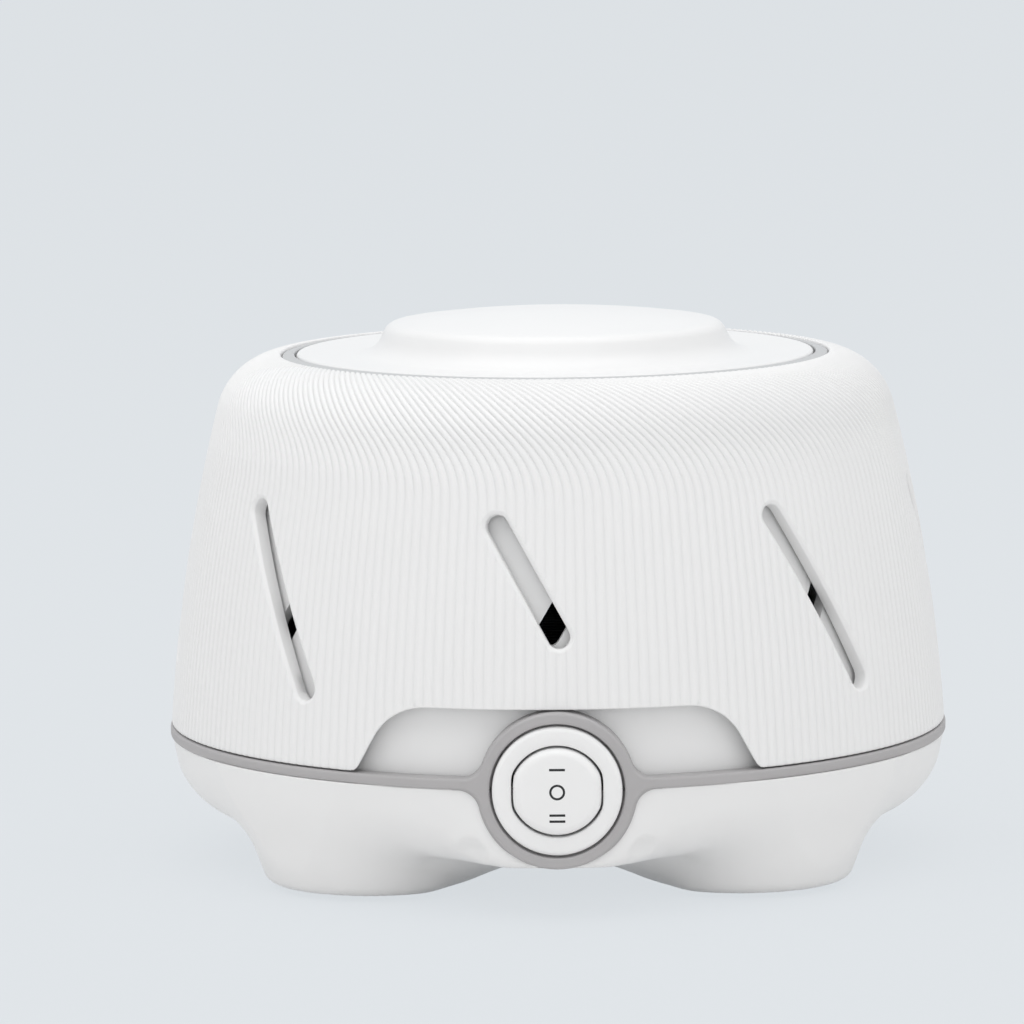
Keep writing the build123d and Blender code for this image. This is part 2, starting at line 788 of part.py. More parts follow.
grommet_bottom = plate_height - grommet_lip
grommet_top = plate_top + grommet_lip
for number, place in enumerate(motor_screw_places, start=1):
    # The front pair also clamps the two bearing brackets.
    clamps_brackets = place[1] == 0
    sleeve_top = stack_bottom - (bracket_thickness if clamps_brackets else 0)
    head_bottom = stack_top + (bracket_thickness if clamps_brackets else 0)
    nut_bottom = grommet_bottom - motor_nut_height

    with BuildPart() as grommet:
        disc(grommet_radius, grommet_bottom, plate_height, places=(place,))
        disc(grommet_groove_radius, plate_height, plate_top, places=(place,))
        disc(grommet_radius, plate_top, grommet_top, places=(place,))
        disc(motor_screw_radius, grommet_bottom, grommet_top, Mode.SUBTRACT, (place,))
    finish(grommet, f"grommet_{number}")

    with BuildPart() as spacer_sleeve:
        disc(sleeve_radius, grommet_top, sleeve_top, places=(place,))
        disc(motor_screw_radius, grommet_top, sleeve_top, Mode.SUBTRACT, (place,))
    finish(spacer_sleeve, f"spacer_sleeve_{number}")

    with BuildPart() as motor_screw:
        disc(motor_screw_head_radius, head_bottom, head_bottom + motor_screw_head_height, places=(place,))
        disc(motor_screw_radius, nut_bottom - motor_screw_tail, head_bottom, places=(place,))
    finish(motor_screw, f"motor_screw_{number}")

    with BuildPart() as motor_nut:
        with BuildSketch(Plane.XY.offset(nut_bottom)):
            with Locations(place):
                RegularPolygon(motor_nut_radius, 6)
                Circle(motor_screw_radius, mode=Mode.SUBTRACT)
        extrude(amount=motor_nut_height)
    finish(motor_nut, f"motor_nut_{number}")

# ---------------------------------------------------------------- motor, stationary half

with BuildPart() as stator_stack:
    with BuildSketch(Plane.XY.offset(stack_bottom)):
        with Locations((0, (stack_back - stack_front) / 2)):
            RectangleRounded(2 * stack_half_width, stack_front + stack_back, stack_corner_round)
        Circle(stack_bore_radius, mode=Mode.SUBTRACT)
        window_length = stack_back - stack_limb - window_front
        with Locations((0, window_front + window_length / 2)):
            Rectangle(2 * window_half_width, window_length, mode=Mode.SUBTRACT)
        with Locations(*motor_screw_places):
            Circle(motor_screw_radius + motor_screw_hole_gap, mode=Mode.SUBTRACT)
    extrude(amount=stack_height)
finish(stator_stack, "stator_stack")


def limb_section(grow):
    """Rectangle round the stack's back limb, seen along X, grown on all sides."""
    with Locations((stack_back - stack_limb / 2, stack_bottom + stack_height / 2)):
        Rectangle(stack_limb + 2 * grow, stack_height + 2 * grow)


flange_depth = 2 * bobbin_wall + winding_depth
with BuildPart() as coil_bobbin:
    with BuildSketch(Plane.YZ.offset(-bobbin_half_length)):
        limb_section(flange_depth)
    extrude(amount=bobbin_wall)
    with BuildSketch(Plane.YZ.offset(bobbin_half_length - bobbin_wall)):
        limb_section(flange_depth)
    extrude(amount=bobbin_wall)
    with BuildSketch(Plane.YZ.offset(-bobbin_half_length)):
        limb_section(bobbin_wall)
    extrude(amount=2 * bobbin_half_length)
    with BuildSketch(Plane.YZ.offset(-bobbin_half_length)):
        limb_section(0)
    extrude(amount=2 * bobbin_half_length, mode=Mode.SUBTRACT)
finish(coil_bobbin, "coil_bobbin")

winding_half_length = bobbin_half_length - bobbin_wall
with BuildPart() as coil_winding:
    with BuildSketch(Plane.YZ.offset(-winding_half_length)) as winding_section:
        limb_section(bobbin_wall + winding_depth)
        fillet(winding_section.vertices(), winding_round)
    extrude(amount=2 * winding_half_length)
    with BuildSketch(Plane.YZ.offset(-winding_half_length)):
        limb_section(bobbin_wall)
    extrude(amount=2 * winding_half_length, mode=Mode.SUBTRACT)
finish(coil_winding, "coil_winding")

# Thermal fuse, lying on top of the winding.
winding_top = stack_top + bobbin_wall + winding_depth
with BuildPart() as thermal_fuse:
    with BuildSketch(Plane.YZ.offset(-fuse_length / 2)):
        with Locations((stack_back - stack_limb / 2, winding_top + fuse_radius)):
            Circle(fuse_radius)
    extrude(amount=fuse_length)
finish(thermal_fuse, "thermal_fuse")


def bearing_bracket(level, direction):
    """Bridge over the rotor bore with a boss for the bearing; direction is up or down."""
    foot = level
    crown = level + direction * bracket_rise
    thick = direction * bracket_thickness
    inside = bracket_reach - bracket_foot
    outline = [
        (-bracket_reach, foot),
        (-inside, foot),
        (-inside + bracket_slope, crown),
        (inside - bracket_slope, crown),
        (inside, foot),
        (bracket_reach, foot),
        (bracket_reach, foot + thick),
        (inside, foot + thick),
        (inside - bracket_slope, crown + thick),
        (-inside + bracket_slope, crown + thick),
        (-inside, foot + thick),
        (-bracket_reach, foot + thick),
    ]
    with BuildPart() as bracket:
        with BuildSketch(Plane.XZ):
            with BuildLine():
                Polyline(*outline, close=True)
            make_face()
        extrude(amount=bracket_width / 2, both=True)
        bottom, top = sorted((bearing_start(level, direction), bearing_end(level, direction)))
        disc(bearing_boss_radius, bottom, top)
        disc(bearing_radius, bottom, top, Mode.SUBTRACT)
        screw_bottom, screw_top = sorted((foot, foot + thick))
        front_places = motor_screw_places[:2]
        hole_radius = motor_screw_radius + motor_screw_hole_gap
        disc(hole_radius, screw_bottom, screw_top, Mode.SUBTRACT, front_places)
    return bracket


def bearing_start(level, direction):
    """Height of the bearing's face that looks at the rotor."""
    return level + direction * (end_ring_height + thrust_washer_height + thrust_gap)


def bearing_end(level, direction):
    """Height of the bearing's outer face."""
    return bearing_start(level, direction) + direction * bearing_boss_height


bearing_sides = {"lower": (stack_bottom, -1), "upper": (stack_top, 1)}
for side_name, (level, direction) in bearing_sides.items():
    finish(bearing_bracket(level, direction), f"bracket_{side_name}")
    bottom, top = sorted((bearing_start(level, direction), bearing_end(level, direction)))
    with BuildPart() as bearing:
        disc(bearing_radius, bottom, top)
        disc(shaft_radius + shaft_gap, bottom, top, Mode.SUBTRACT)
    finish(bearing, f"bearing_{side_name}")

    # Thrust washer that turns with the rotor.
    ring_face = level + direction * end_ring_height
    bottom, top = sorted((ring_face, ring_face + direction * thrust_washer_height))
    with BuildPart() as thrust_washer:
        disc(washer_radius, bottom, top)
        disc(shaft_radius, bottom, top, Mode.SUBTRACT)
    finish(thrust_washer, f"thrust_washer_{side_name}")

# ---------------------------------------------------------------- rotor and fan

with BuildPart() as motor_shaft:
    disc(shaft_radius, shaft_bottom, shaft_top)
    chamfer(motor_shaft.edges().filter_by(GeomType.CIRCLE), shaft_radius / 4)
finish(motor_shaft, "motor_shaft")

with BuildPart() as rotor_core:
    disc(stack_bore_radius - air_gap, stack_bottom, stack_top)
    disc(end_ring_radius, stack_bottom - end_ring_height, stack_top + end_ring_height)
    disc(
        shaft_radius, stack_bottom - end_ring_height, stack_top + end_ring_height, Mode.SUBTRACT
    )
finish(rotor_core, "rotor_core")

fan_disc_top = fan_bottom + fan_disc_thickness
with BuildPart() as fan_wheel:
    disc(fan_radius, fan_bottom, fan_disc_top)
    with BuildSketch(Plane.XY.offset(fan_disc_top)):
        with PolarLocations(fan_blade_circle_radius, fan_blade_count):
            Rectangle(fan_blade_length, fan_blade_thickness, rotation=fan_blade_sweep)
    extrude(amount=fan_top - fan_disc_top)
    with BuildSketch(Plane.XY.offset(fan_top - fan_rim_height)):
        Circle(fan_radius)
        Circle(fan_radius - fan_rim_width, mode=Mode.SUBTRACT)
    extrude(amount=fan_rim_height)
    disc(fan_hub_radius, fan_bottom - fan_hub_drop, fan_top - fan_hub_drop)
    disc(shaft_radius, fan_bottom - fan_hub_drop, fan_top - fan_hub_drop, Mode.SUBTRACT)
finish(fan_wheel, "fan_wheel")

with BuildPart() as fan_clip:
    clip_bottom = fan_top - fan_hub_drop
    disc(fan_clip_radius, clip_bottom, clip_bottom + fan_clip_height)
    disc(shaft_radius, clip_bottom, clip_bottom + fan_clip_height, Mode.SUBTRACT)
finish(fan_clip, "fan_clip")

# ---------------------------------------------------------------- cord gland and leads

with BuildPart() as cord_gland:
    flange_outer = gland_seat + gland_flange_thickness
    round_forward(gland_nose_radius, gland_height, -gland_nose_end, -gland_seat)
    fillet(cord_gland.edges().group_by(Axis.Y)[-1], gland_nose_round)
    round_forward(gland_flange_radius, gland_height, -flange_outer, -gland_seat)
    round_forward(gland_neck_radius, gland_height, -gland_seat, -gland_inner_end)
    # Snap collar behind the wall.
    round_forward(gland_snap_radius, gland_height, -gland_pad_front, -gland_inner_end)
    round_forward(gland_bore_radius, gland_height, -gland_nose_end, -gland_inner_end, Mode.SUBTRACT)
finish(cord_gland, "cord_gland")


def bend_radii(points):
    """Radius at each inner point: 0.45 of the shorter run over the tangent of half the turn."""
    radii = []
    for before, corner, after in zip(points, points[1:], points[2:]):
        run_in = Vector(*corner) - Vector(*before)
        run_out = Vector(*after) - Vector(*corner)
        half_turn = radians(run_in.get_angle(run_out) / 2)
        radii.append(0.45 * min(run_in.length, run_out.length) / tan(half_turn))
    return radii


flange_x = bobbin_half_length
coil_end_x = lead_hole_x
turn_x = flange_x + 3
terminal_start = -terminal_end
lead_end = gland_inner_end + lead_grip
lead_turn = gland_inner_end - lead_tail
lead_routes = {
    "lead_common": [
        (0, terminal_start, switch_height),
        (0, terminal_start + terminal_tail, switch_height),
        (-4, -36, 18.5),
        (-4, -27, 12.8),
        (3, -8, 12.4),
        (5.5, 22, 12.6),
        (3.5, 46, 14.2),
        (1.5, lead_turn, gland_height),
        (1.5, lead_end, gland_height),
    ],
    "lead_low": [
        (0, terminal_start, switch_height - terminal_spacing),
        (0, terminal_start + terminal_tail, switch_height - terminal_spacing),
        (4.5, -35, 13.4),
        (10.5, -18, 12.4),
        (11, 14, 12.6),
        (12, 36, 12.4),
        (coil_end_x - 0.8, lead_hole_y[1] - 1.5, 14.5),
        (coil_end_x, lead_hole_y[1], 24),
        (coil_end_x - 0.4, lead_hole_y[1] + 0.3, 36),
        (turn_x, lead_hole_y[1], 42.4),
        (flange_x, lead_hole_y[1], 42.4),
    ],
    "lead_high": [
        (0, terminal_start, switch_height + terminal_spacing),
        (0, terminal_start + terminal_tail, switch_height + terminal_spacing),
        (8, -38.5, 20),
        (13, -34.5, 13),
        (16, -22, 12.4),
        (16, 8, 12.6),
        (17, 40, 12.4),
        (coil_end_x + 0.4, lead_hole_y[0] - 1, 13.6),
        (coil_end_x, lead_hole_y[0], 23),
        (coil_end_x - 0.4, lead_hole_y[0] + 0.2, 38),
        (turn_x, lead_hole_y[0], 46.5),
        (flange_x, lead_hole_y[0], 46.5),
    ],
    "lead_neutral": [
        (-1.5, lead_end, gland_height),
        (-1.5, lead_turn, gland_height),
        (-7, 48.5, 13),
        (-15.5, 48, 13.4),
        (-coil_end_x, lead_hole_y[0], 20),
        (-coil_end_x + 0.4, lead_hole_y[0] + 0.2, 34),
        (-turn_x, lead_hole_y[0], 41.5),
        (-flange_x, lead_hole_y[0], 41.5),
    ],
}
for node, route in lead_routes.items():
    with BuildPart() as lead:
        with BuildLine() as path:
            FilletPolyline(*route, radius=bend_radii(route))
        with BuildSketch(Plane(origin=path.line @ 0, z_dir=path.line % 0)):
            Circle(lead_radius)
        sweep(path=path.line)
    finish(lead, node)
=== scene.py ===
"""Mechanical white noise machine: ribbed twist collar, domed cap, footed base and rocker switch.

Sizes in the sections are millimetres and degrees, and new_piece turns them into metres.
+Z is up, the switch faces -Y, and turns are counted from -Y towards +X.
"""
import json
import math

import bmesh
import bpy
import numpy as np
from mathutils import Matrix


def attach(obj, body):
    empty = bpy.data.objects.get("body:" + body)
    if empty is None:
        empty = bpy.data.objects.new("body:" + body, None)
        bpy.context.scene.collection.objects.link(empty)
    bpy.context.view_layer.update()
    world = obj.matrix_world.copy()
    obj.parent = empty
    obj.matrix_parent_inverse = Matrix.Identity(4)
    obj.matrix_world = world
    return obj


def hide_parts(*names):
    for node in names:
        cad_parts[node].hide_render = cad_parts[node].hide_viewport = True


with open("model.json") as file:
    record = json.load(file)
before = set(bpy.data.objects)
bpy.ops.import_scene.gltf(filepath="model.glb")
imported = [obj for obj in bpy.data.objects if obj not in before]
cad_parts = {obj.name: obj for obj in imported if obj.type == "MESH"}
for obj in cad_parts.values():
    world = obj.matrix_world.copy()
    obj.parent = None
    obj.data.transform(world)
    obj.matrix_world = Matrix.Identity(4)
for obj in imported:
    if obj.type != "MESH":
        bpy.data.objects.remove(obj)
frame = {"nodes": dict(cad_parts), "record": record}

scene = bpy.context.scene
nodes = frame["nodes"]
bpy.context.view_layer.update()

# ------------------------------------ camera
# A long lens, 1.2 m in front of the machine and a little above it. It is tipped down by
# seven degrees, and turned and rolled by half a degree.

lens_pixels = 6556.5
picture_pixels = 1024
sensor_width = 36.0
camera_place = (0.004, -1.2, 0.21335)
pitch, yaw, roll = (math.radians(angle) for angle in (7.128, -0.58, -0.538))

level_forward = math.cos(pitch)
forward = np.array([math.sin(yaw) * level_forward, math.cos(yaw) * level_forward, -math.sin(pitch)])
level_right = np.array([math.cos(yaw), -math.sin(yaw), 0.0])
level_up = np.cross(level_right, forward)
camera_right = level_right * math.cos(roll) + level_up * math.sin(roll)
camera_up = level_up * math.cos(roll) - level_right * math.sin(roll)


def stood(name, data, place, *axes):
    """Object at a place in metres, with its own X, Y and Z along the three axes."""
    made = bpy.data.objects.new(name, data)
    turn = np.eye(4)
    turn[:3, :3] = np.stack(axes, axis=1)
    turn[:3, 3] = place
    made.matrix_world = Matrix(turn.tolist())
    scene.collection.objects.link(made)
    return made


camera_data = bpy.data.cameras.new("camera")
camera_data.sensor_width = sensor_width
camera_data.lens = sensor_width * lens_pixels / picture_pixels
camera_axes = (camera_right, camera_up, -forward)
scene.camera = stood("camera", camera_data, camera_place, *camera_axes)

# ------------------------------------ base bowl
# Injection-moulded ABS bowl. Its wall flows down into four round feet, and bulges
# forward round the switch loop. The arches between the feet let air in underneath.


class Value:
    """A number that varies over a surface, so that + and * on it add Math nodes."""

    def __init__(self, tree, socket):
        self.tree, self.socket = tree, socket

    def maths(self, operation, *terms):
        node = self.tree.nodes.new("ShaderNodeMath")
        node.operation = operation
        for place, term in enumerate(terms):
            if isinstance(term, Value):
                self.tree.links.new(term.socket, node.inputs[place])
            else:
                node.inputs[place].default_value = term
        return Value(self.tree, node.outputs[0])

    def __add__(self, other):
        return self.maths("ADD", self, other)

    def __mul__(self, other):
        return self.maths("MULTIPLY", self, other)


class Finish:
    """A material with one Principled shader; sockets are given by name."""

    def __init__(self, name, **sockets):
        self.material = bpy.data.materials.new(name)
        self.material.use_nodes = True
        self.tree = self.material.node_tree
        self.shader = self.tree.nodes["Principled BSDF"]
        for socket, value in sockets.items():
            self.plug(self.shader.inputs[socket.replace("_", " ")], value)
        self.place = self.node("ShaderNodeTexCoord", output="Object")

    def plug(self, socket, value):
        if isinstance(value, Value):
            self.tree.links.new(value.socket, socket)
        else:
            socket.default_value = value

    def node(self, kind, settings=None, output=0, **inputs):
        """Any node: its settings first, then the values or links of its sockets."""
        made = self.tree.nodes.new(kind)
        for name, value in (settings or {}).items():
            setattr(made, name, value)
        for name, value in inputs.items():
            self.plug(made.inputs[name.replace("_", " ")], value)
        return Value(self.tree, made.outputs[output])

    def noise(self, scale, detail=2.0, stretch=(1.0, 1.0, 1.0)):
        """Noise of the scale per metre, drawn out along an axis by a small stretch."""
        place = self.node("ShaderNodeMapping", Vector=self.place, Scale=stretch)
        return self.node("ShaderNodeTexNoise", Vector=place, Scale=scale, Detail=detail)

    def colour(self, mask, first, second):
        """Base colour from the first to the second as the mask goes from 0 to 1."""
        made = self.tree.nodes.new("ShaderNodeMix")
        made.data_type = "RGBA"
        self.plug(made.inputs["Factor"], mask)
        self.plug(made.inputs[6], (*first, 1.0))
        self.plug(made.inputs[7], (*second, 1.0))
        self.plug(self.shader.inputs["Base Color"], Value(self.tree, made.outputs[2]))

    def gloss(self, mask, roughness, spread):
        """Roughness that varies by the spread round its middle value."""
        self.plug(self.shader.inputs["Roughness"], mask * spread + (roughness - spread / 2))

    def bump(self, height, depth):
        """Relief of the depth in metres where height goes from 0 to 1."""
        bump = self.node("ShaderNodeBump", Height=height, Distance=depth, Strength=1.0)
        self.plug(self.shader.inputs["Normal"], bump)


def moulded(name, colour, roughness, grain=900.0, depth=4e-6, shift=0.012):
    """Moulded plastic or rubber: fine grain, faint cloudiness and slightly uneven gloss."""
    made = Finish(name, Roughness=roughness)
    cloud = made.noise(60.0, 3.0)
    darker, lighter = ([min(1.0, c * (1 + way * shift)) for c in colour] for way in (-1, 1))
    made.colour(cloud, darker, lighter)
    fine = made.noise(grain)
    made.gloss(fine, roughness, 0.08)
    made.bump(fine, depth)
    return made.material


def new_piece(name, points, faces, body, slot, material, stands_for=(), crease=None):
    """Mesh from points in millimetres and arrays of corner numbers, riding on its body.

    Points of one place, at seams and poles, are merged. stands_for names the solids that
    the piece is shown instead of, and edges above the crease angle are shaded sharp.
    """
    millimetre, same_place = 0.001, 2e-7
    groups = faces if isinstance(faces, list) else [faces]
    every_corner = np.concatenate([group.ravel() for group in groups])
    used, corners = np.unique(every_corner, return_inverse=True)
    points = np.asarray(points)[used] * millimetre
    counts = np.concatenate([np.full(len(group), group.shape[1]) for group in groups])
    starts = np.concatenate([[0], np.cumsum(counts)[:-1]])
    mesh = bpy.data.meshes.new(name)
    mesh.vertices.add(len(points))
    mesh.vertices.foreach_set("co", points.astype(np.float32).ravel())
    mesh.loops.add(len(corners))
    mesh.loops.foreach_set("vertex_index", corners.astype(np.int32))
    mesh.polygons.add(len(counts))
    mesh.polygons.foreach_set("loop_start", starts.astype(np.int32))
    mesh.update(calc_edges=True)
    shell = bmesh.new()
    shell.from_mesh(mesh)
    bmesh.ops.remove_doubles(shell, verts=shell.verts, dist=same_place)
    shell.to_mesh(mesh)
    shell.free()
    mesh.shade_smooth()
    if crease:
        mesh.set_sharp_from_angle(angle=math.radians(crease))
    mesh.materials.append(material)
    piece = bpy.data.objects.new(name, mesh)
    scene.collection.objects.link(piece)
    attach(piece, body)
    if stands_for:
        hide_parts(*stands_for)
    return piece


def grid_faces(rows, columns, closed):
    """Corner numbers of a grid's quads; closed joins the last column to the first."""
    row = np.arange(rows - 1)[:, None] * columns
    column = np.arange(columns if closed else columns - 1)[None, :]
    after = (column + 1) % columns
    quads = [row + column, row + after, row + columns + after, row + columns + column]
    return np.stack(quads, axis=-1).reshape(-1, 4)


def rounded(corners, radii, steps=7):
    """Open outline whose corners are arcs of the radii.

    An arc reaches radius / tan(half the corner's angle) along both sides, and its points
    stand at equal angles round its centre.
    """
    corner = np.array(corners, float)
    radius = np.array(radii, float)[:, None]
    before = np.roll(corner, 1, axis=0) - corner
    after = np.roll(corner, -1, axis=0) - corner
    before /= np.linalg.norm(before, axis=1, keepdims=True)
    after /= np.linalg.norm(after, axis=1, keepdims=True)
    straightest = 0.999999
    half = np.arccos(np.clip((before * after).sum(1, keepdims=True), -straightest, straightest)) / 2
    between = (before + after) / np.linalg.norm(before + after, axis=1, keepdims=True)
    centre = corner + between * radius / np.sin(half)
    start = corner + before * radius / np.tan(half) - centre
    end = corner + after * radius / np.tan(half) - centre
    sweep = (math.pi - 2 * half)[:, None]
    part = np.linspace(0, 1, steps)[None, :, None]
    arcs = np.sin((1 - part) * sweep) * start[:, None] + np.sin(part * sweep) * end[:, None]
    outline = (centre[:, None] + arcs / np.sin(sweep)).reshape(-1, 2)
    kept = np.append(True, np.linalg.norm(np.diff(outline, axis=0), axis=1) > 1e-6)
    return outline[kept]


def turned(outline, columns):
    """Points of an outline of radius and height, turned about the upright axis."""
    angle = np.arange(columns) / columns * 2 * math.pi
    radius, height = outline[:, :1], outline[:, 1:]
    grid = [radius * np.cos(angle), radius * np.sin(angle), height + 0 * angle]
    return np.stack(grid, axis=-1).reshape(-1, 3)


def smooth_step(value, low, high):
    """0 below low, 1 above high, and a smooth S between."""
    share = np.clip((value - low) / (high - low), 0, 1)
    return share * share * (3 - 2 * share)


def round_corner(first, second, radius):
    """Field of what lies in both shapes, with the edge between them rounded."""
    deep = np.minimum(np.maximum(first + radius, second + radius), 0)
    near = np.hypot(np.maximum(first + radius, 0), np.maximum(second + radius, 0))
    return deep + near - radius


def soft_union(first, second, width):
    """Field of both shapes together, with a fillet of about the width between them."""
    near = np.maximum(width - np.abs(first - second), 0) / width
    return np.minimum(first, second) - near * near * width / 4


far_off = 1e3
rim_radius, rim_height, rim_round = 71.3, 23.1, 0.25
wall_slope = 0.2
floor_height = 9.05
# The edge of wall and floor is rounder away from the front arch, and tight at the pod.
corner_round, arch_round, pod_round = 10.0, 6.0, 0.8
arch_reach = (14.0, 30.0)
foot_place = 33.0
foot_edge_radius, foot_edge_height, foot_slope = 19.6, 1.1, 0.37
foot_flat_radius, foot_flat_height = 12.0, 0.85
foot_edge_round, foot_fillet = 1.3, 4.4
# A foot's flank towards an arch starts nearer, leans out more and has a wider fillet.
arch_edge_radius, arch_slope, arch_fillet = 16.6, 1.65, 11.5
arch_turn = (0.4, 1.0)
switch_height = 23.05
pod_front = 70.9
pod_radii = (14.6, 23.0)
recess_radius, recess_seat = 12.4, 66.8
dimple_azimuth, dimple_ball = 13.1, 4.5
front_dimples, other_dimples = (73.1, 10.8), (72.4, 9.4)


def base_field(x, y, z):
    """Below zero inside the bowl with its feet, and about the distance outside it.

    The bowl is a cone closed by a floor, with the edge between them rounded. The pod
    raises the cone and sharpens the edge near the switch. Each foot is a flared round
    block, joined to the bowl by a fillet, and leans more where it faces an arch. The
    switch recess and the dimples are cut out.
    """
    radius = np.hypot(x, y)
    from_switch = np.where(y < 0, np.hypot(x, z - switch_height), far_off)
    pod = 1 - smooth_step(from_switch, *pod_radii)
    cone = rim_radius - wall_slope * (rim_height - z)
    wall = (radius - (cone + (pod_front - cone) * pod)) * math.cos(math.atan(wall_slope))
    wall = round_corner(wall, z - rim_height, rim_round)
    from_arch = smooth_step(np.where(y < 0, np.abs(x), far_off), *arch_reach)
    corner = arch_round + (corner_round - arch_round) * from_arch
    bowl = round_corner(wall, floor_height - z, corner - (corner - pod_round) * pod)
    from_foot = np.hypot(np.abs(x) - foot_place, np.abs(y) - foot_place)
    to_arch = foot_place - np.minimum(np.abs(x), np.abs(y))
    arch = smooth_step(to_arch / np.maximum(from_foot, 1e-6), *arch_turn)
    edge_radius = foot_edge_radius + (arch_edge_radius - foot_edge_radius) * arch
    side_slope = foot_slope + (arch_slope - foot_slope) * arch
    side = (from_foot - edge_radius - side_slope * (z - foot_edge_height)) / np.hypot(1, side_slope)
    rise = np.maximum(from_foot - foot_flat_radius, 0) / (foot_edge_radius - foot_flat_radius)
    sole = foot_flat_height + (foot_edge_height - foot_flat_height) * rise**2 - z
    foot = np.maximum(round_corner(side, sole, foot_edge_round), wall)
    field = soft_union(bowl, foot, foot_fillet + (arch_fillet - foot_fillet) * arch)
    recess = np.maximum(from_switch - recess_radius, recess_seat + y)
    # All dimples fall on one when the quarters and their halves are folded together.
    across, out = np.minimum(np.abs(x), np.abs(y)), np.maximum(np.abs(x), np.abs(y))
    at_front = (y < 0) & (np.abs(x) < np.abs(y))
    ring, height = (np.where(at_front, *pair) for pair in zip(front_dimples, other_dimples))
    azimuth = math.radians(dimple_azimuth)
    from_ball = [across - ring * math.sin(azimuth), out - ring * math.cos(azimuth), z - height]
    dimple = np.sqrt(sum(gap**2 for gap in from_ball)) - dimple_ball
    return np.maximum(field, np.maximum(-recess, -dimple))


# The skin is found along rays: level ones from heights down the wall, then a fan of them
# that turns from level, under the bowl, to the middle of its floor.
base_columns = 640
base_middle = (44.0, 16.0)
base_reach = 36.0
rim_steps = np.array([0, 0.03, 0.1, 0.2, 0.4])
upright_count, fan_count = 20, 112
wall_rows = np.linspace(rim_height - rim_steps[-1], base_middle[1], upright_count)[1:-1]
upright_rows = np.concatenate([rim_height - rim_steps, wall_rows])
last_slope = -180 + math.degrees(math.atan2(base_middle[1] - floor_height, base_middle[0]))
fan_rows = np.radians(np.linspace(0, last_slope, fan_count))
start_height = np.concatenate([upright_rows, np.full(len(fan_rows), base_middle[1])])[:, None]
slope = np.concatenate([np.zeros(len(upright_rows)), fan_rows])[:, None]
azimuth = np.arange(base_columns)[None, :] / base_columns * 2 * math.pi


def base_point(length):
    """Point at the length along each row's ray, in each column's upright plane."""
    radius = base_middle[0] + length * np.cos(slope)
    height = start_height + length * np.sin(slope)
    return radius * np.cos(azimuth), radius * np.sin(azimuth), height + 0 * azimuth


# The first place along a ray where the field turns positive, then halved to it.
coarse_steps, halvings = 90, 24
to_axis = base_middle[0] / -np.minimum(np.cos(slope), -1e-6)
longest = np.where(slope < -math.pi / 2, to_axis, base_reach)
outside = longest + 0 * azimuth
for share in np.linspace(1, 0, coarse_steps + 1)[1:-1]:
    length = longest * share + 0 * azimuth
    outside = np.where(base_field(*base_point(length)) > 0, length, outside)
inside = outside - longest / coarse_steps
for halving in range(halvings):
    middle = (inside + outside) / 2
    beyond = base_field(*base_point(middle)) > 0
    outside = np.where(beyond, middle, outside)
    inside = np.where(beyond, inside, middle)
base_skin = np.stack(base_point(outside), axis=-1)

base_wall = 2.0
lining_radius, lining_round = 66.0, 6.0
lining_corners = [(radius, floor_height + base_wall) for radius in (0, lining_radius)]
lining_corners += [(rim_radius - inset, rim_height) for inset in (base_wall, rim_round)]
lining = rounded(lining_corners, [0, lining_round, 0, 0])
lining_points = turned(lining, base_columns).reshape(len(lining), base_columns, 3)
base_rows = np.concatenate([base_skin[::-1], lining_points[::-1]])
base_faces = grid_faces(len(base_rows), base_columns, True)
white_base = moulded("base_plastic", (0.80,) * 3, 0.42)
new_piece(
    "base_bowl", base_rows.reshape(-1, 3), base_faces, "base", "base", white_base, ["base_shell"]
)

# ------------------------------------ twist collar
# Moulded ABS shell that turns by hand to open or close the sound slots. Fine ribs run
# up it and swirl over the shoulder; each slot has a bevelled lip.

collar_radius, collar_foot, foot_lean = 71.37, 25.3, 3.79
shoulder, shoulder_lean = (62.05, 83.86), 14.3
opening_radius, opening_height = 50.4, 93.22
collar_wall = 2.8
rib_count, rib_depths = 240, (0.22, 0.36)
rib_columns = (0.0, 0.17, 0.5, 0.83)
swirl_start, swirl_full, swirl_lean = 46.0, 61.0, 45.0
slot_count = 8
slot_pitch = 360 / slot_count
slot_azimuth, slot_tilt, slot_half_width = -1.5, 29.5, 2.05
slot_top, slot_bottom, short_slot_bottom = 68.9, 38.8, 49.8
lip_width, lip_depth = 0.75, 0.55
collar_edge_round, cutout_round = 0.35, 0.3
# Half width and top of the cut-out's zone, and how far its straight wall goes and blends.
cutout_zone, straight_reach = (46, 42), (1.0, 5.0)
cutout_outline = rounded(
    [(-48, 24.75), (-35.9, 24.75), (-29.3, 37.2), (29.3, 37.2), (35.9, 24.75), (48, 24.75)],
    [0, 3.5, 10.5, 10.5, 3.5, 0],
    steps=14,
)[1:-1]


def arc(direction, reach, part):
    """Offsets at parts of the arc that sets off in the direction and ends at the reach.

    Half the arc's turn is the angle between direction and reach. Also gives the direction
    at its end and its length.
    """
    direction, reach = np.array(direction), np.array(reach)
    inward = np.array([-direction[1], direction[0]])
    sweep = 2 * math.atan2(reach @ inward, reach @ direction)
    radius = reach @ reach / (2 * reach @ inward)
    angle = sweep * np.asarray(part)[..., None]
    offsets = radius * (np.sin(angle) * direction + (1 - np.cos(angle)) * inward)
    end = math.cos(sweep) * direction + math.sin(sweep) * inward
    return offsets, end, abs(radius * sweep)


